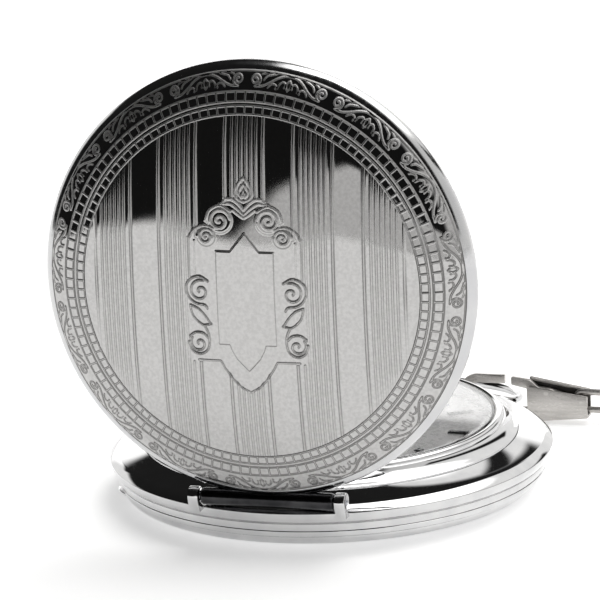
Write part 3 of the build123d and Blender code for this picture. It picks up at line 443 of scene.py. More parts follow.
# ---------------------------------------- relief strokes
def bump(distance, half_width, height):
    """Rounded ridge across a line."""
    return height * np.clip(1 - (distance / half_width) ** 2, 0, None) ** 2


def step(distance, width):
    """0 to 1 over a width, from distance 0 inwards."""
    t = np.clip(distance / width, 0, 1)
    return t * t * (3 - 2 * t)


def stroke_distance(x, y, points):
    """Distance from points to a broken line."""
    points = np.array(points, float)
    best = np.full(x.shape, 1e9)
    for (ax, ay), (bx, by) in zip(points[:-1], points[1:]):
        dx, dy = bx - ax, by - ay
        along = np.clip(((x - ax) * dx + (y - ay) * dy) / (dx * dx + dy * dy), 0, 1)
        best = np.minimum(best, (x - ax - along * dx) ** 2 + (y - ay - along * dy) ** 2)
    return np.sqrt(best)


def curl(centre, start_r, end_r, start, end, steps=28):
    """Points of a spiral, angles in degrees."""
    return [(centre[0] + r * math.cos(math.radians(a)), centre[1] + r * math.sin(math.radians(a)))
            for r, a in zip(np.linspace(start_r, end_r, steps), np.linspace(start, end, steps))]


def eased(points, steps=5):
    """Catmull-Rom curve through a few points, flat or in space."""
    points = np.array([points[0], *points, points[-1]], float)
    result = []
    for a, b, c, d in zip(points, points[1:], points[2:], points[3:]):
        for t in np.linspace(0, 1, steps, endpoint=False):
            result.append(0.5 * (2 * b + (c - a) * t + (2 * a - 5 * b + 4 * c - d) * t ** 2
                                 + (3 * b - a - 3 * c + d) * t ** 3))
    return result + [points[-1]]


def engrave(x, y, strokes):
    """Highest of the ridges (points, half width, height) at each point."""
    height = np.zeros(x.shape)
    for points, half_width, rise in strokes:
        low, high = np.min(points, 0) - half_width, np.max(points, 0) + half_width
        near = (x > low[0]) & (x < high[0]) & (y > low[1]) & (y < high[1])
        if near.any():
            found = bump(stroke_distance(x[near], y[near], points), half_width, rise)
            height[near] = np.maximum(height[near], found)
    return height


def inside(x, y, corners):
    """Signed distance to a closed outline, positive inside."""
    corners = list(corners)
    distance = stroke_distance(x, y, corners + corners[:1])
    within = np.zeros(x.shape, bool)
    for (ax, ay), (bx, by) in zip(corners, corners[1:] + corners[:1]):
        if ay != by:
            within ^= ((ay > y) != (by > y)) & (x < (bx - ax) * (y - ay) / (by - ay) + ax)
    return np.where(within, distance, -distance)


# ---------------------------------------- what is engraved
BAND_PITCH = 7.1          # from one striped band to the next
BAND_HALF = 2.0           # from a band's middle to its edge ridge
FLUTES_PER_HALF, FLUTE_PITCH = 3, 0.51
LINE = 0.13               # half width of an ordinary engraved line
SHADE_BORDER = 0.9         # how far the borders' flanks go to the painted shade colour
SHADE_FIELD = 0.62         # and the field's
SHADE_FADES_FROM = 2.5         # from this height up the cover the painted shade on the flanks fades out
CARTOUCHE_HALF = 6.6      # the part round the cartouche whose painted shade depends on how a flank faces
CARTOUCHE_FOOT = -7.2


def stripes(x, y):
    """Bands of six flutes between two edge ridges, left out where the cartouche stands."""
    across = np.abs((x + BAND_PITCH / 2) % BAND_PITCH - BAND_PITCH / 2)
    height = bump(across - BAND_HALF, 0.22, 0.06)
    for n in range(FLUTES_PER_HALF):
        height = np.maximum(height, bump(across - FLUTE_PITCH * (n + 0.5), 0.19, 0.045))
    wide = np.abs(x)
    foot = -10.7 + 3.3 * (np.clip(wide, 0, 3) / 3) ** 1.3
    ground = ((wide < 5.95) & (y > -7.5) & (y < 5.3)) | ((wide < 3) & (y > foot) & (y < 9.3))
    return np.where(ground, 0, height)


PLAQUE = [(0, 6.05), (1.55, 4.1), (3.1, 4.1), (3.1, -5.7), (1.95, -5.7), (1.75, -6.3), (1.25, -7.2),
          (0, -8.5)]
FRAME_FOOT = [(5.35, -7.4), (2.95, -7.4), (2.6, -8.1), (1.85, -9.2), (0.95, -10.15), (0, -10.65)]
LEAF = [(0, 11.5), (0.5, 10.95), (0.85, 10.3), (0.9, 9.75), (0.6, 9.3), (0, 9.1)]
# middles of the four curls, and the ground raised under two of them
VOLUTE = (2.55, 7.15)
SMALL_VOLUTE = (4.0, 5.45)
UPPER_CURL = (4.8, -0.2)
LOWER_CURL = (5.15, -5.65)
RAISED = ((VOLUTE, 1.42), (SMALL_VOLUTE, 1.08))
SCROLLS = [
    (LEAF, LINE, 0.09),
    (eased([(0, 10.85), (0.38, 10.3), (0.42, 9.8), (0.15, 9.55)]), 0.11, 0.07),
    (eased([(0, 10.2), (0.12, 9.85), (0, 9.6)]), 0.10, 0.06),
    (eased([(0, 8.25), (0.55, 8.9), (1.2, 9.3), (1.85, 9.3), (2.1, 9.05)]), 0.17, 0.10),
    (eased([(0, 7.75), (0.7, 8.4), (1.4, 8.85), (2.1, 8.85), (2.6, 8.75)]), 0.13, 0.09),
    (eased([(0, 7.45), (0.5, 7.75), (1.1, 8.2)]), 0.12, 0.08),
    (curl(VOLUTE, 1.2, 0.16, 170, -430), 0.16, 0.10),
    (eased([(1.45, 8.1), (2.5, 8.62), (3.6, 8.1), (4.0, 7.1)]), 0.16, 0.10),
    (curl(SMALL_VOLUTE, 0.86, 0.14, 150, -420), 0.14, 0.09),
    (eased([(3.2, 6.35), (4.3, 6.55), (5.3, 6.1), (5.75, 5.35)]), 0.15, 0.10),
    (eased([(5.9, 5.3), (5.92, 3.0), (5.9, 1.2)]), 0.14, 0.05),
    (eased([(5.3, 5.0), (5.32, 3.2), (5.3, 1.6)]), 0.09, 0.03),
    (curl(UPPER_CURL, 0.14, 1.2, -30, 470), 0.14, 0.08),
    (eased([(3.95, 0.85), (4.9, 1.35), (5.9, 0.95), (6.3, 0.1), (6.0, -0.9), (5.3, -1.45), (4.4, -1.6),
            (4.1, -1.95)]), 0.14, 0.08),
    (eased([(5.95, -1.65), (5.1, -2.0), (4.4, -2.7), (3.85, -3.5)]), 0.12, 0.08),
    (eased([(5.95, -1.65), (5.7, -2.7), (5.1, -3.4), (4.5, -3.75)]), 0.12, 0.08),
    ([(3.75, -3.55), (4.55, -3.72)], 0.12, 0.08),
    (eased([(4.5, -3.75), (4.15, -4.5), (4.05, -5.4), (4.3, -6.3), (5.1, -6.75), (5.95, -6.4),
            (6.25, -5.5)]), 0.14, 0.09),
    (curl(LOWER_CURL, 0.13, 0.95, -20, 400), 0.14, 0.08),
    (eased([(4.2, -5.0), (4.7, -4.55), (5.5, -4.5), (6.15, -4.95)]), 0.14, 0.09),
]


def cartouche(x, y):
    """Plaque, lower frame and scrolls; both sides alike."""
    wide = np.abs(x)
    near = (wide < 7) & (np.abs(y) < 12.2)
    height = np.zeros(x.shape)
    u, v = wide[near], y[near]
    plaque = PLAQUE + [(-a, b) for a, b in PLAQUE[-2:0:-1]]
    edge = inside(u, v, plaque)
    relief = 0.05 * step(edge + 0.05, 0.16) - bump(edge, 0.11, 0.06)
    foot = stroke_distance(u, v, FRAME_FOOT)
    relief = relief + bump(foot, 0.12, 0.05) - bump(foot - 0.22, 0.10, 0.02)
    for centre, radius in RAISED:
        relief = np.maximum(relief, 0.07 * step(radius - np.hypot(u - centre[0], v - centre[1]), 0.22))
    relief = relief + engrave(u, v, SCROLLS)
    height[near] = relief
    return height


LADDER_BARS = 120
LADDER_ROWS = ((FIELD_R + 0.12, 18.55), (18.95, 19.9))    # radii of each row's two circles
LADDER_RISE = 0.055


def ladder(radius, angle):
    """Two rows of small framed squares between four circles."""
    pitch = 2 * math.pi / LADDER_BARS
    off = np.abs((angle + pitch / 2) % pitch - pitch / 2) * radius
    height = np.zeros(radius.shape)
    for low, high in LADDER_ROWS:
        for circle in (low, high):
            height = np.maximum(height, bump(radius - circle, 0.11, LADDER_RISE))
        row = (radius > low) & (radius < high)
        height = np.maximum(height, np.where(row, bump(off, 0.10, LADDER_RISE), 0))
    return height


SCROLL_UNITS = 15
SCROLL_MID = 21.0         # radius that the strokes of a unit are drawn about
UNIT_STROKES = [
    (curl((3.5, 0.02), 0.13, 0.60, 60, 630), 0.11, 0.05),
    (eased([(3.5, -0.58), (2.75, -0.52), (2.0, -0.16), (1.3, 0.3), (0.6, 0.6), (0, 0.66)]), 0.12, 0.05),
    (eased([(2.65, 0.0), (2.4, 0.36), (1.95, 0.52), (1.5, 0.66)]), 0.10, 0.045),
    (eased([(2.95, 0.5), (2.6, 0.62), (2.25, 0.66)]), 0.09, 0.04),
    (eased([(2.1, -0.62), (1.85, -0.32), (1.5, -0.22), (1.22, -0.4), (1.3, -0.64)]), 0.10, 0.045),
    (eased([(1.05, -0.55), (0.95, -0.15), (0.62, 0.08), (0.34, -0.1), (0.42, -0.4)]), 0.10, 0.045),
    (eased([(0, 0.3), (0.24, 0.0), (0.2, -0.35), (0, -0.62)]), 0.10, 0.045),
]


def scroll_border(radius, angle):
    """Running scrollwork between two fine lines."""
    unit = 2 * math.pi / SCROLL_UNITS
    u = np.abs((angle + math.pi / 2 + unit / 2) % unit - unit / 2) * SCROLL_MID
    height = engrave(u, radius - SCROLL_MID, UNIT_STROKES)
    return np.maximum(height, bump(radius - SCROLL_R + 0.1, 0.10, 0.05))


# ---------------------------------------- cover pieces
KNUCKLE_END = 7.15        # half length of the hinge's middle tube
HINGE_AXES = (np.array([0, HINGE[1], HINGE[2]]), CASE[2], CASE[3], SIDE)


def cover_points(x, y, lift):
    """Points on the cover's dome, lifted off it along its axis."""
    return place(COVER, x, y, dome(np.hypot(x, y)) + lift)


def mark_flanks(piece, x, y, relief, amount):
    """Vertex attributes for the engraving's steep flanks: frost on all, and painted shade that fades out towards
    the top of the cover.
    """
    slopes = []
    for axis in (0, 1):
        length = np.hypot(np.gradient(x, axis=axis), np.gradient(y, axis=axis))
        slopes.append(np.gradient(relief, axis=axis) / np.maximum(length, 1e-6))
    slope = np.hypot(*slopes)
    flank = np.clip((slope - 0.10) / 0.30, 0, 1)
    shade_share = 1 - step(y - SHADE_FADES_FROM, 6.0)
    # round the cartouche the flanks that face sideways get less painted shade
    facing = (slopes[1] / np.maximum(slope, 1e-6)) ** 2
    shade_share = shade_share * np.where((np.abs(x) < CARTOUCHE_HALF) & (y > CARTOUCHE_FOOT), 0.3 + 0.9 * facing, 1)
    # the first attribute is painted shade on the flanks, the second their roughness
    for name, values in (("flank_shade", flank * shade_share * amount), ("frost", flank)):
        marked = np.zeros(len(piece.data.vertices))
        marked[:relief.size] = values.ravel()
        piece.data.attributes.new(name, "FLOAT", "POINT").data.foreach_set("value", marked)


def ring_plate(name, inner, outer, count, around, relief):
    """Engraved ring of the cover."""
    radii = np.linspace(inner, outer, count)
    angles = np.linspace(0, 2 * math.pi, around, endpoint=False)
    angle, radius = np.meshgrid(angles, radii, indexing="ij")
    x, y = radius * np.cos(angle), radius * np.sin(angle)
    rows = [0, count // 2, count - 1]
    height = relief(radius, angle)
    top, under = cover_points(x, y, height), cover_points(x, y, -PLATE_DEPTH)
    piece = plate(name, top, under, rows, True, "cover", ENGRAVED)
    mark_flanks(piece, x, y, height, SHADE_BORDER)


def field_plate(name, columns, tall, short, relief):
    """Part of the engraved field: fine rows near the middle, coarse ones out to its round edge."""
    near = np.linspace(-tall, tall, short)
    coarse = np.linspace(0, 1, 14)[1:]
    reach = np.sqrt(FIELD_R ** 2 - columns ** 2)
    limit = np.minimum(tall, reach * 0.98)
    middle = near[None, :] / tall * limit[:, None]
    outer = limit[:, None] + (reach - limit)[:, None] * coarse[None, :]
    y = np.hstack([-outer[:, ::-1], middle, outer])
    x = np.broadcast_to(columns[:, None], y.shape)
    rows = sorted(set(np.linspace(0, y.shape[1] - 1, 40).astype(int).tolist()))
    height = relief(x, y)
    top, under = cover_points(x, y, height), cover_points(x, y, -PLATE_DEPTH)
    piece = plate(name, top, under, rows, False, "cover", ENGRAVED)
    mark_flanks(piece, x, y, height, SHADE_FIELD)


def build_cover():
    """Engraved plates, the shell under them and the hinge's middle tube."""
    field_plate("cover_field_centre", np.linspace(-FIELD_SEAM, FIELD_SEAM, 208), 11.9, 330,
                lambda x, y: stripes(x, y) + cartouche(x, y))
    side = np.linspace(FIELD_SEAM, FIELD_R - 0.02, 170)
    field_plate("cover_field_right", side, 8.0, 40, stripes)
    field_plate("cover_field_left", -side[::-1], 8.0, 40, stripes)
    ring_plate("cover_ladder", FIELD_R, LADDER_R, 38, LADDER_BARS * 14, ladder)
    ring_plate("cover_scrolls", LADDER_R, SCROLL_R, 30, SCROLL_UNITS * 124, scroll_border)
    outside = [(SCROLL_R * t, float(dome(SCROLL_R * t)) - 0.2) for t in np.linspace(0, 0.999, 40)]
    rim = [(SCROLL_R, 1.35)] + arc((SCROLL_R, 1.35), (22.42, 0.92), (RIM_R, 0.5), 8)
    rim += [(RIM_R, 0.08), (RIM_R - 0.08, 0), (RIM_R - SHEET + 0.08, 0), (RIM_R - SHEET, 0.08)]
    liner = Dome((0, 10, 17.5, 19.75, LINER_R), (4.9, 4.32, 3.08, 2.25, 1.12), -0.9)
    within = [(22.2, 0.5), (22.0, 0.72)]
    within += [(LINER_R * t, float(liner(LINER_R * t))) for t in np.linspace(1, 0, 40)]
    lathe("cover_shell", outside + rim + within, "cover", INNER, COVER, 480, replaced=("lid",), sharp=50)
    tube = [(0.44, -KNUCKLE_END), (0.55, -KNUCKLE_END)]
    tube += arc((0.55, -KNUCKLE_END), (0.8, 0.18 - KNUCKLE_END), (0.9, 0.5 - KNUCKLE_END), 6)
    tube += [(r, -h) for r, h in tube[::-1]]
    # the knuckle's near-black colour is painted shade
    lathe("cover_knuckle", tube, "cover", HINGE_SHADE, HINGE_AXES, 64)


# ---------------------------------------- case pieces
LUG_START, LUG_END = 7.25, 8.35      # hinge posts, from the middle
KNUCKLE_ROOM = 1.12                  # radius of the hollow round the knuckle
LIP_ANGLE = 210                      # thumbnail lip of the back cover, degrees
CRYSTAL_R, CRYSTAL_INNER_R = 17.5, 16.9


def case_relief(radius, height, angle):
    """Shallow hollow in the band for the cover's knuckle."""
    x, y = radius * np.cos(angle), radius * np.sin(angle)
    away_y, away_z = y - HINGE[1], height - HINGE[2]
    away = np.hypot(away_y, away_z)
    pushed = (np.abs(x) < LUG_START) & (away < KNUCKLE_ROOM) & (height > 4)
    scale = np.where(pushed, KNUCKLE_ROOM / np.maximum(away, 1e-6), 1)
    new_y = np.where(pushed, HINGE[1] + away_y * scale, y)
    new_z = np.where(pushed, HINGE[2] + away_z * scale, height)
    return np.hypot(x, new_y), new_z


def build_case():
    """Band, back, bezel and crystal, with the hinge's posts and rod and the back's lip."""
    band = rounded([(20.4, 1.9), (21.9, 1.9), (21.9, 2.55), (22.84, 2.55), (22.98, 3.35), (22.8, 3.45),
                    (22.8, 3.56), (23.18, 3.62)], 0.06, closed=False)
    band += [(23.26, 3.72), (23.43, 4.3), (23.48, 4.46)]
    band += arc((23.48, 4.46), (23.5, 4.57), (23.44, 4.67), 5)
    band += arc((23.44, 4.67), (23.06, 5.0), (22.6, 5.27), 20)
    band += arc((22.6, 5.27), (21.35, 5.58), (19.95, 6.05), 22)
    seat = [(19.95, 6.05), (19.95, 5.6), (19.0, 5.6), (19.0, 5.2), (20.4, 5.2)]
    band += rounded(seat, 0.05, closed=False)[1:]
    lathe("case_band", band, "case", POLISHED, segments=720, replaced=("mid_case",), shape=case_relief,
          sharp=30)
    back = [(0, 0), (7, 0), (15, 0)] + arc((15, 0), (19, 0.28), (21.9, 0.92), 14)
    back += arc((21.9, 0.92), (22.24, 1.28), (22.42, 1.78), 8)
    edge = [(22.42, 1.78), (22.74, 1.95), (22.84, 2.5), (21.95, 2.5), (21.95, 1.75), (21.45, 1.3)]
    back += rounded(edge, 0.07, closed=False)[1:]
    back += arc((21.45, 1.3), (18.6, 0.76), (15, 0.5), 8) + [(0, 0.5)]
    lathe("case_back", back, "case", POLISHED, segments=480, replaced=("back_cover",), sharp=30)
    ring = [(18.3, 5.62), (19.9, 5.62), (19.9, 6.25), (19.8, 6.32), (19.45, 6.42)]
    ring += arc((19.45, 6.42), (18.95, 6.85), (18.6, 7.4), 12) + [(18.56, 7.45), (18.43, 7.5)]
    ring += arc((18.43, 7.5), (18.3, 7.86), (17.65, 7.95), 12)
    ring += [(17.65, 7.15), (17.1, 7.15), (16.9, 6.2), (18.3, 6.2)]
    lathe("bezel_ring", ring, "case", POLISHED, segments=480, replaced=("bezel",), sharp=30)
    glass = [(CRYSTAL_R * t, 9.1 - 1.12 * t * t) for t in np.linspace(0, 0.995, 30)]
    glass += [(CRYSTAL_R, 7.9), (CRYSTAL_R, 7.15)]
    glass += [(CRYSTAL_INNER_R * t, 8.3 - 1.15 * t * t) for t in np.linspace(1, 0, 30)]
    lathe("crystal_dome", glass, "case", GLASS, segments=240, replaced=("crystal",), slot="crystal_glass")
    post = [(0.9, -1.75), (0.95, -0.5), (0.98, 0)] + arc((0.98, 0), (0, 0.98), (-0.98, 0), 14)
    post += [(-0.86, -0.6), (-0.5, -1.35), (-0.3, -1.75)]
    lugs = [prism(post, low, low + LUG_END - LUG_START, HINGE_AXES, 0.1) for low in (-LUG_END, LUG_START)]
    new_piece("hinge_lugs", *joined(lugs), "case", POLISHED)
    pin_end = LUG_END + 0.12
    pin = [(0, -pin_end), (0.25, -pin_end), (0.38, 0.14 - pin_end)]
    pin += [(r, -h) for r, h in pin[::-1]]
    lathe("hinge_rod", pin, "case", SPRING, HINGE_AXES, 40, replaced=("hinge_pin",), slot="polished_case")
    angle = math.radians(LIP_ANGLE)
    outward = np.array([math.cos(angle), math.sin(angle), 0.0])
    across = np.array([-math.sin(angle), math.cos(angle), 0.0])
    lip = arc((-2.3, 22.0), (0, 23.15), (2.3, 22.0), 24)
    lip_axes = (np.zeros(3), across, outward, CASE[3])
    new_piece("back_lip", *prism([(-2.3, 22.0)] + lip, 1.98, 2.4, lip_axes, 0.12), "case", POLISHED)


# ---------------------------------------- pendant, crown and bow
CROWN_FLUTES = 28
CROWN_SIDE = (28.55, 32.45)          # along the stem, where the flutes start and end
BOW_R, BOW_THIN_R = 0.47, 0.38       # the bow's wire, thinner near the watch's middle plane


def crown_relief(radius, height, angle):
    """Flutes round the crown's side, fading out at its shoulders."""
    reach = step(height - CROWN_SIDE[0], 0.7) * step(CROWN_SIDE[1] - height, 0.9)
    wave = (0.5 + 0.5 * np.cos(angle * CROWN_FLUTES)) ** 1.6
    return radius - 0.3 * wave * reach * (radius > 1.6), height


def build_pendant():
    """Pendant, fluted crown and bow."""
    boss = rounded([(1.3, 22.78), (2.72, 22.78), (2.5, 23.3), (2.22, 23.9), (2.2, 24.3), (1.3, 24.3)], 0.15)
    lathe("pendant_boss", boss, "case", POLISHED, STEM, 96)
    tube = [(0.8, 20.5), (1.25, 20.5), (1.25, 24.32), (2.1, 24.32), (2.15, 24.4)]
    tube += arc((2.15, 24.4), (1.92, 24.62), (2.0, 24.85), 6)
    tube += arc((2.0, 24.85), (2.13, 25.6), (1.9, 26.6), 10)
    tube += arc((1.9, 26.6), (1.72, 26.9), (1.62, 27.2), 5) + [(1.55, 27.38), (1.4, 27.4), (0.8, 27.4)]
    lathe("pendant_tube", tube, "case", POLISHED, STEM, 96, replaced=("pendant",))
    knob = [(0.74, 28.4), (2.3, 28.4)] + arc((2.3, 28.4), (2.72, 28.62), (2.9, 29.1), 10)
    knob += [(2.9, h) for h in np.linspace(29.3, 31.3, 9)]
    knob += arc((2.9, 31.3), (2.6, 32.15), (1.75, 32.62), 14)
    knob += arc((1.75, 32.62), (0.9, 32.8), (0, 32.85), 8) + [(0, 31.02), (0.74, 31.02)]
    lathe("crown_knob", knob, "winding", POLISHED, STEM, CROWN_FLUTES * 14, replaced=("crown",),
          shape=crown_relief, sharp=60)
    half = [(1.2, 25.2, 4.0), (1.8, 25.2, 4.0), (2.5, 25.2, 3.98), (4.2, 25.14, 3.82), (7.4, 25.0, 3.42),
            (11.0, 24.95, 2.82), (12.7, 25.6, 2.38), (13.25, 27.0, 2.12), (13.0, 29.6, 1.66),
            (11.7, 32.4, 1.3), (9.5, 34.8, 1.0), (6.8, 36.4, 0.82), (3.4, 37.15, 0.72), (0, 37.25, 0.70)]
    path = np.array(eased(half + [(-x, y, z) for x, y, z in half[-2::-1]], 8))
    radii = BOW_THIN_R + (BOW_R - BOW_THIN_R) * step(np.abs(path[:, 0]) - 2.2, 0.8)
    wire("bow_wire", path, radii, "bow_ring", POLISHED, around=24, replaced=("bow",))


# ---------------------------------------- trouser clip
CLIP_AXES = (np.zeros(3), SIDE, CASE[3], CASE[2])
CLIP_Y = 26.3
CLIP_NEAR, CLIP_FAR = CLIP_Y - 0.95, CLIP_Y + 0.95
STRIP_NEAR, STRIP_FAR = CLIP_Y - 0.38, CLIP_Y + 0.32
WALL = 0.3
WITHIN = 0.28             # how far inside the walls' outer faces the parts between them end
PINS = {"gate": (17.1, 3.45), "hook": (15.9, 1.1), "loop": (21.1, 2.5)}


def build_clip():
    """Folded housing with its hook, gate, rivets and end loop."""
    near = rounded([(14.95, 0.1), (21.75, 0.75), (21.75, 3.25), (14.95, 4.15)], 0.14)
    far = rounded([(14.95, 0.1), (21.75, 0.75), (21.75, 3.7), (14.95, 4.85)], 0.14)
    spine = [(14.95, 0.1), (21.75, 0.75), (21.75, 1.05), (14.95, 0.4)]
    flange = [(15.15, 4.52), (21.72, 3.4), (21.72, 3.68), (15.15, 4.80)]
    new_piece("clip_near_wall", *prism(near, CLIP_NEAR, CLIP_NEAR + WALL, CLIP_AXES, 0.05), "clip", SATIN,
              ("clip_housing",), slot="satin_clip")
    wall = new_piece("clip_far_wall", *prism(far, CLIP_FAR - WALL, CLIP_FAR, CLIP_AXES, 0.05), "clip",
                     SATIN, slot="satin_clip")
    # its inner face gets a near-black colour, painted shade inside the clip
    wall.data.materials.append(CLIP_INSIDE_SHADE)
    for face in wall.data.polygons:
        if face.normal.y < -0.9:
            face.material_index = 1
    new_piece("clip_spine", *prism(spine, CLIP_NEAR + WITHIN, CLIP_FAR - WITHIN, CLIP_AXES, 0.02), "clip",
              SATIN, slot="satin_clip")
    new_piece("clip_flange", *prism(flange, CLIP_FAR - 0.55, CLIP_FAR - WITHIN, CLIP_AXES, 0.04), "clip",
              SATIN, slot="satin_clip")
    hook = [(12.3, 4.2), (12.3, 5.12), (9.4, 5.12)] + arc((9.4, 5.12), (7.75, 4.55), (7.1, 3.1), 14)
    hook += arc((7.1, 3.1), (8.05, 1.25), (9.8, 0.62), 14) + [(16.7, 0.62), (16.7, 1.55), (10.2, 1.55)]
    hook += arc((10.2, 1.55), (8.65, 2.0), (8.0, 3.1), 10) + arc((8.0, 3.1), (8.5, 3.85), (9.7, 4.2), 10)
    new_piece("clip_hook_strip", *prism(hook, STRIP_NEAR, STRIP_FAR, CLIP_AXES, 0.1), "clip", SATIN,
              ("clip_hook",), slot="satin_clip")
    gate = rounded([(13.05, 4.1), (15.6, 3.55), (16.6, 2.95), (19.4, 2.75), (19.4, 3.15), (17.4, 3.8),
                    (16.1, 3.92), (15.2, 4.68), (13.05, 4.95)], 0.12)
    new_piece("clip_gate_tongue", *prism(gate, STRIP_NEAR, STRIP_FAR, CLIP_AXES, 0.08), "gate", SATIN,
              ("clip_gate",), slot="satin_clip")
    for name, (x, z) in PINS.items():
        axes = (np.array([x, 0, z]), SIDE, CASE[3], CASE[2])
        low, high = CLIP_NEAR - 0.02, CLIP_FAR + 0.2
        rivet = [(0, low), (0.26, low), (0.3, low + 0.03)]
        rivet += [(0.3, high - 0.21), (0.45, high - 0.19), (0.38, high - 0.06), (0.2, high), (0, high)]
        replaced = ("clip_rivets",) if name == "gate" else ()
        lathe("rivet_" + name, rivet, "clip", SATIN, axes, 32, replaced, slot="satin_clip")
    x_low, x_high, z_low, z_high, bend = 20.35, 27.2, 1.55, 3.55, 0.7
    loop = []
    for cx, cz, start in ((x_high - bend, z_low + bend, -90), (x_high - bend, z_high - bend, 0),
                          (x_low + bend, z_high - bend, 90), (x_low + bend, z_low + bend, 180)):
        loop += [(cx + bend * math.cos(math.radians(start + a)), CLIP_Y - 0.05,
                  cz + bend * math.sin(math.radians(start + a))) for a in range(0, 91, 15)]
    wire("clip_end_loop", loop, 0.35, "clip_loop", SATIN, closed=True, around=18, replaced=("end_loop",),
         slot="satin_clip")


# ---------------------------------------- dial
DIAL_TOP = 5.95
SUNK_TOP = DIAL_TOP - 0.1                # the sunk seconds dial
BATON_R, BATON_LENGTH, BATON_WIDTH, BATON_BEVEL = 14.3, 2.8, 0.8, 0.12
TWIN_SHIFT, TWIN_WIDTH = 0.48, 0.72      # the pair of batons at twelve
SECONDS_SPOT = np.array(JOINTS["seconds_turn"]["pos_m"]) / MM


def bar_outline(x, y, width, length):
    """Corners of an upright bar round its middle."""
    return [(x - width / 2, y - length / 2), (x + width / 2, y - length / 2),
            (x + width / 2, y + length / 2), (x - width / 2, y + length / 2)]


def bars(centre, radius, count, length, width, low, high, skip=(), bevel=0.02):
    """Radial bars round a centre as closed shells."""
    parts = []
    for n in range(count):
        if n in skip:
            continue
        angle = 2 * math.pi * n / count
        out = np.array([math.sin(angle), math.cos(angle), 0.0])
        side = np.array([math.cos(angle), -math.sin(angle), 0.0])
        axes = (np.array([centre[0], centre[1], 0.0]), side, out, CASE[3])
        parts.append(prism(bar_outline(0, radius, width, length), low, high, axes, bevel))
    return parts


def build_dial():
    """Hour batons, minute track and seconds track, standing a little in the enamel."""
    low, high = DIAL_TOP - 0.02, DIAL_TOP + 0.2
    batons = bars((0, 0), BATON_R, 12, BATON_LENGTH, BATON_WIDTH, low, high, skip=(0, 6), bevel=BATON_BEVEL)
    for shift in (-TWIN_SHIFT, TWIN_SHIFT):
        outline = bar_outline(shift, BATON_R, TWIN_WIDTH, BATON_LENGTH)
        batons.append(prism(outline, low, high, CASE, BATON_BEVEL))
    new_piece("hour_batons", *joined(batons), "case", LACQUER, ("hour_markers",), slot="black_lacquer")
    minutes = bars((0, 0), 16.7, 60, 0.7, 0.14, low, DIAL_TOP + 0.04)
    new_piece("minute_track", *joined(minutes), "case", LACQUER, slot="black_lacquer")
    low = SUNK_TOP - 0.02
    marks = bars(SECONDS_SPOT, 3.7, 60, 0.3, 0.07, low, SUNK_TOP + 0.03, bevel=0.015)
    marks += bars(SECONDS_SPOT, 3.55, 12, 0.6, 0.12, low, SUNK_TOP + 0.035, bevel=0.015)
    new_piece("seconds_track", *joined(marks), "case", LACQUER, slot="black_lacquer")


build_cover()
build_case()
build_pendant()
build_clip()
build_dial()

# ---------------------------------------- camera
AZIMUTH, ELEVATION, ROLL = math.radians(17.254), math.radians(15.682), math.radians(2.639)
DISTANCE, ASIDE, ABOVE = 553.33, -2.617, 19.991       # millimetres from the origin
FOCAL_MM, SENSOR_MM = 312.0, 36
back = Vector((math.sin(AZIMUTH) * math.cos(ELEVATION), -math.cos(AZIMUTH) * math.cos(ELEVATION),
               math.sin(ELEVATION)))
right = Vector((math.cos(AZIMUTH), math.sin(AZIMUTH), 0))
up = back.cross(right)
camera = bpy.data.objects.new("camera", bpy.data.cameras.new("camera"))
SCENE.collection.objects.link(camera)
image_right = right * math.cos(ROLL) - up * math.sin(ROLL)
image_up = right * math.sin(ROLL) + up * math.cos(ROLL)
camera.matrix_world = (Matrix.Translation((back * DISTANCE + right * ASIDE + up * ABOVE) * MM)
                       @ Matrix((image_right, image_up, back)).transposed().to_4x4())
camera.data.lens = FOCAL_MM
camera.data.sensor_width = SENSOR_MM
camera.data.clip_start = 0.01
camera.data.clip_end = 20
SCENE.camera = camera


# ---------------------------------------- floor and light
TABLE_NEAR = -0.40        # metres to the table's front and left edges, where the dark room shows above it
TABLE_FAR = 1.2
TABLE_GLOW = 0.45

# The room round the table, in degrees: azimuth is 0 in front and grows to the right, height is above level.
ROOM_EDGE = (-19, 1, -5, 9.5)            # two azimuths, and the heights the dark's lower edge has at them
ROOM_STEP = (2, 16, 0, 5.5)              # and how far it drops again between two more
ROOM_LEFT, ROOM_RIGHT, ROOM_TOP = (-112, -100), (50, 60), (75, 80)
CEILING_EDGE = (-0.2, 0.02)              # sideways part of the direction where the dark ceiling ends
CEILING_FOOT = (48, 52)
# cards and lamps: azimuths, heights, half width of the soft edge
DARK_CARDS = (((-150, -95), (24, 80), 2.0), ((-177, -134), (21, 61), 1.5),
              ((-185, -175.5), (29, 36), 1.5), ((174, 185), (29, 36), 1.5))
TILTED_CARD = ((88, 164), (32, 41), 2.0)
TILT = (90, 160, 0, 22)                  # two azimuths, and how far the tilted card has dropped at them
WINDOW = ((-182, -140), (3, 19), 3.0)    # adds 1 to the brightness
SOFTBOX = ((64, 176), (46, 100), 4.0)
SOFTBOX_LIGHT = 2.2
WALLS = (60, 140, 0.95, 1.4)             # brightness in front and behind
ZENITH = (62, 80, 0.8, 4.5)              # brightness overhead
DARKNESS = 0.985                         # share of the light that a dark card takes away
EXPOSURE = 0.8


def build_floor():
    """White sheet on the table, lit from below like a light table."""
    mesh = bpy.data.meshes.new("floor")
    near, far = TABLE_NEAR, TABLE_FAR
    mesh.from_pydata([(near, near, 0), (far, near, 0), (far, far, 0), (near, far, 0)], [], [(0, 1, 2, 3)])
    floor = bpy.data.objects.new("floor", mesh)
    SCENE.collection.objects.link(floor)
    mesh.materials.append(finish("floor_paper", (0.92, 0.92, 0.92), (0.94, 0.94, 0.94), (0.7, 0.8),
                                 metal=0.0, grain=0.01, Emission_Color=(1, 1, 1, 1),
                                 Emission_Strength=TABLE_GLOW))


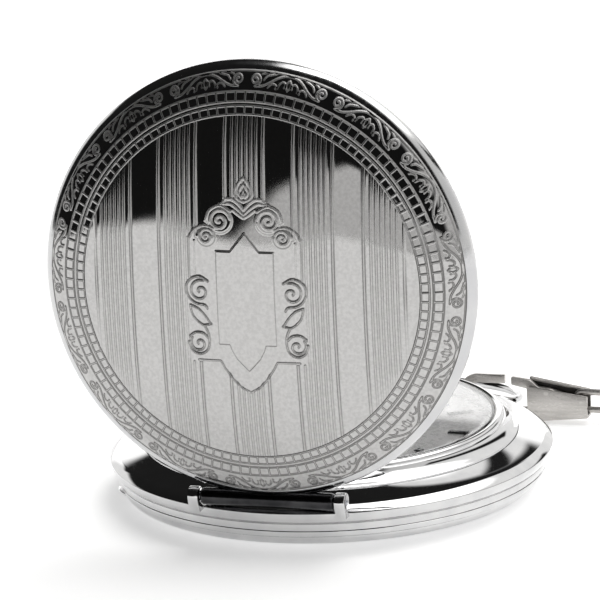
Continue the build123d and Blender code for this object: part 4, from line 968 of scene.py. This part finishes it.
def flag(nodes, azimuth, height, azimuth_range, height_range, soft):
    """1 inside a rectangle of the sky, fading out over a few degrees."""
    within = []
    for value, (start, end) in ((azimuth, azimuth_range), (height, height_range)):
        past_start = nodes.ramp(value, start - soft, start + soft)
        before_end = nodes.ramp(value, end - soft, end + soft, 1, 0)
        within.append(nodes.math("MULTIPLY", past_start, before_end))
    return nodes.math("MULTIPLY", *within)


def build_world():
    """White studio with a dark room in front and dark cards and a softbox behind. The camera sees white."""
    world = bpy.data.worlds.new("studio")
    SCENE.world = world
    world.use_nodes = True
    nodes = Nodes(world.node_tree)
    direction = nodes.add("ShaderNodeTexCoord")
    split = nodes.add("ShaderNodeSeparateXYZ")
    nodes.link(direction.outputs["Generated"], split.inputs[0])
    x, y, z = split.outputs
    degrees = 180 / math.pi
    azimuth = nodes.math("MULTIPLY", nodes.math("ARCTAN2", x, nodes.math("MULTIPLY", y, -1)), degrees)
    height = nodes.math("MULTIPLY", nodes.math("ARCSINE", z), degrees)
    edge = nodes.ramp(azimuth, *ROOM_EDGE, smooth=False)
    edge = nodes.math("SUBTRACT", edge, nodes.ramp(azimuth, *ROOM_STEP))
    dark = nodes.ramp(nodes.math("SUBTRACT", height, edge), 0, 1.0)
    dark = nodes.math("MULTIPLY", dark, nodes.ramp(height, *ROOM_TOP, 1, 0))
    dark = nodes.math("MULTIPLY", dark, nodes.ramp(azimuth, *ROOM_LEFT))
    dark = nodes.math("MULTIPLY", dark, nodes.ramp(azimuth, *ROOM_RIGHT, 1, 0))
    ceiling = nodes.math("MULTIPLY", nodes.ramp(x, *CEILING_EDGE, 1, 0), nodes.ramp(height, *CEILING_FOOT))
    dark = nodes.math("MAXIMUM", dark, ceiling)
    for card in DARK_CARDS:
        dark = nodes.math("MAXIMUM", dark, flag(nodes, azimuth, height, *card))
    tilted = nodes.math("ADD", height, nodes.ramp(azimuth, *TILT, smooth=False))
    dark = nodes.math("MAXIMUM", dark, flag(nodes, azimuth, tilted, *TILTED_CARD))
    bright = nodes.ramp(nodes.math("ABSOLUTE", azimuth), *WALLS)
    bright = nodes.math("ADD", bright, flag(nodes, azimuth, height, *WINDOW))
    bright = nodes.math("MAXIMUM", bright, nodes.ramp(height, *ZENITH))
    softbox = nodes.math("MULTIPLY", flag(nodes, azimuth, height, *SOFTBOX), SOFTBOX_LIGHT)
    bright = nodes.math("MULTIPLY", nodes.math("ADD", bright, softbox), EXPOSURE)
    lit = nodes.math("SUBTRACT", 1.0, nodes.math("MULTIPLY", dark, DARKNESS))
    level = nodes.math("MULTIPLY", bright, lit)
    room = nodes.add("ShaderNodeBackground")
    room.inputs["Color"].default_value = (1.0, 0.995, 0.985, 1)
    nodes.link(level, room.inputs["Strength"])
    white = nodes.add("ShaderNodeBackground")
    white.inputs["Color"].default_value = (1.0, 1.0, 1.0, 1)
    seen = nodes.add("ShaderNodeLightPath")
    mixed = nodes.add("ShaderNodeMixShader")
    nodes.link(seen.outputs["Is Camera Ray"], mixed.inputs[0])
    nodes.link(room.outputs[0], mixed.inputs[1])
    nodes.link(white.outputs[0], mixed.inputs[2])
    output = nodes.add("ShaderNodeOutputWorld")
    nodes.link(mixed.outputs[0], output.inputs["Surface"])


build_floor()
build_world()
SCENE.view_settings.view_transform = "Standard"
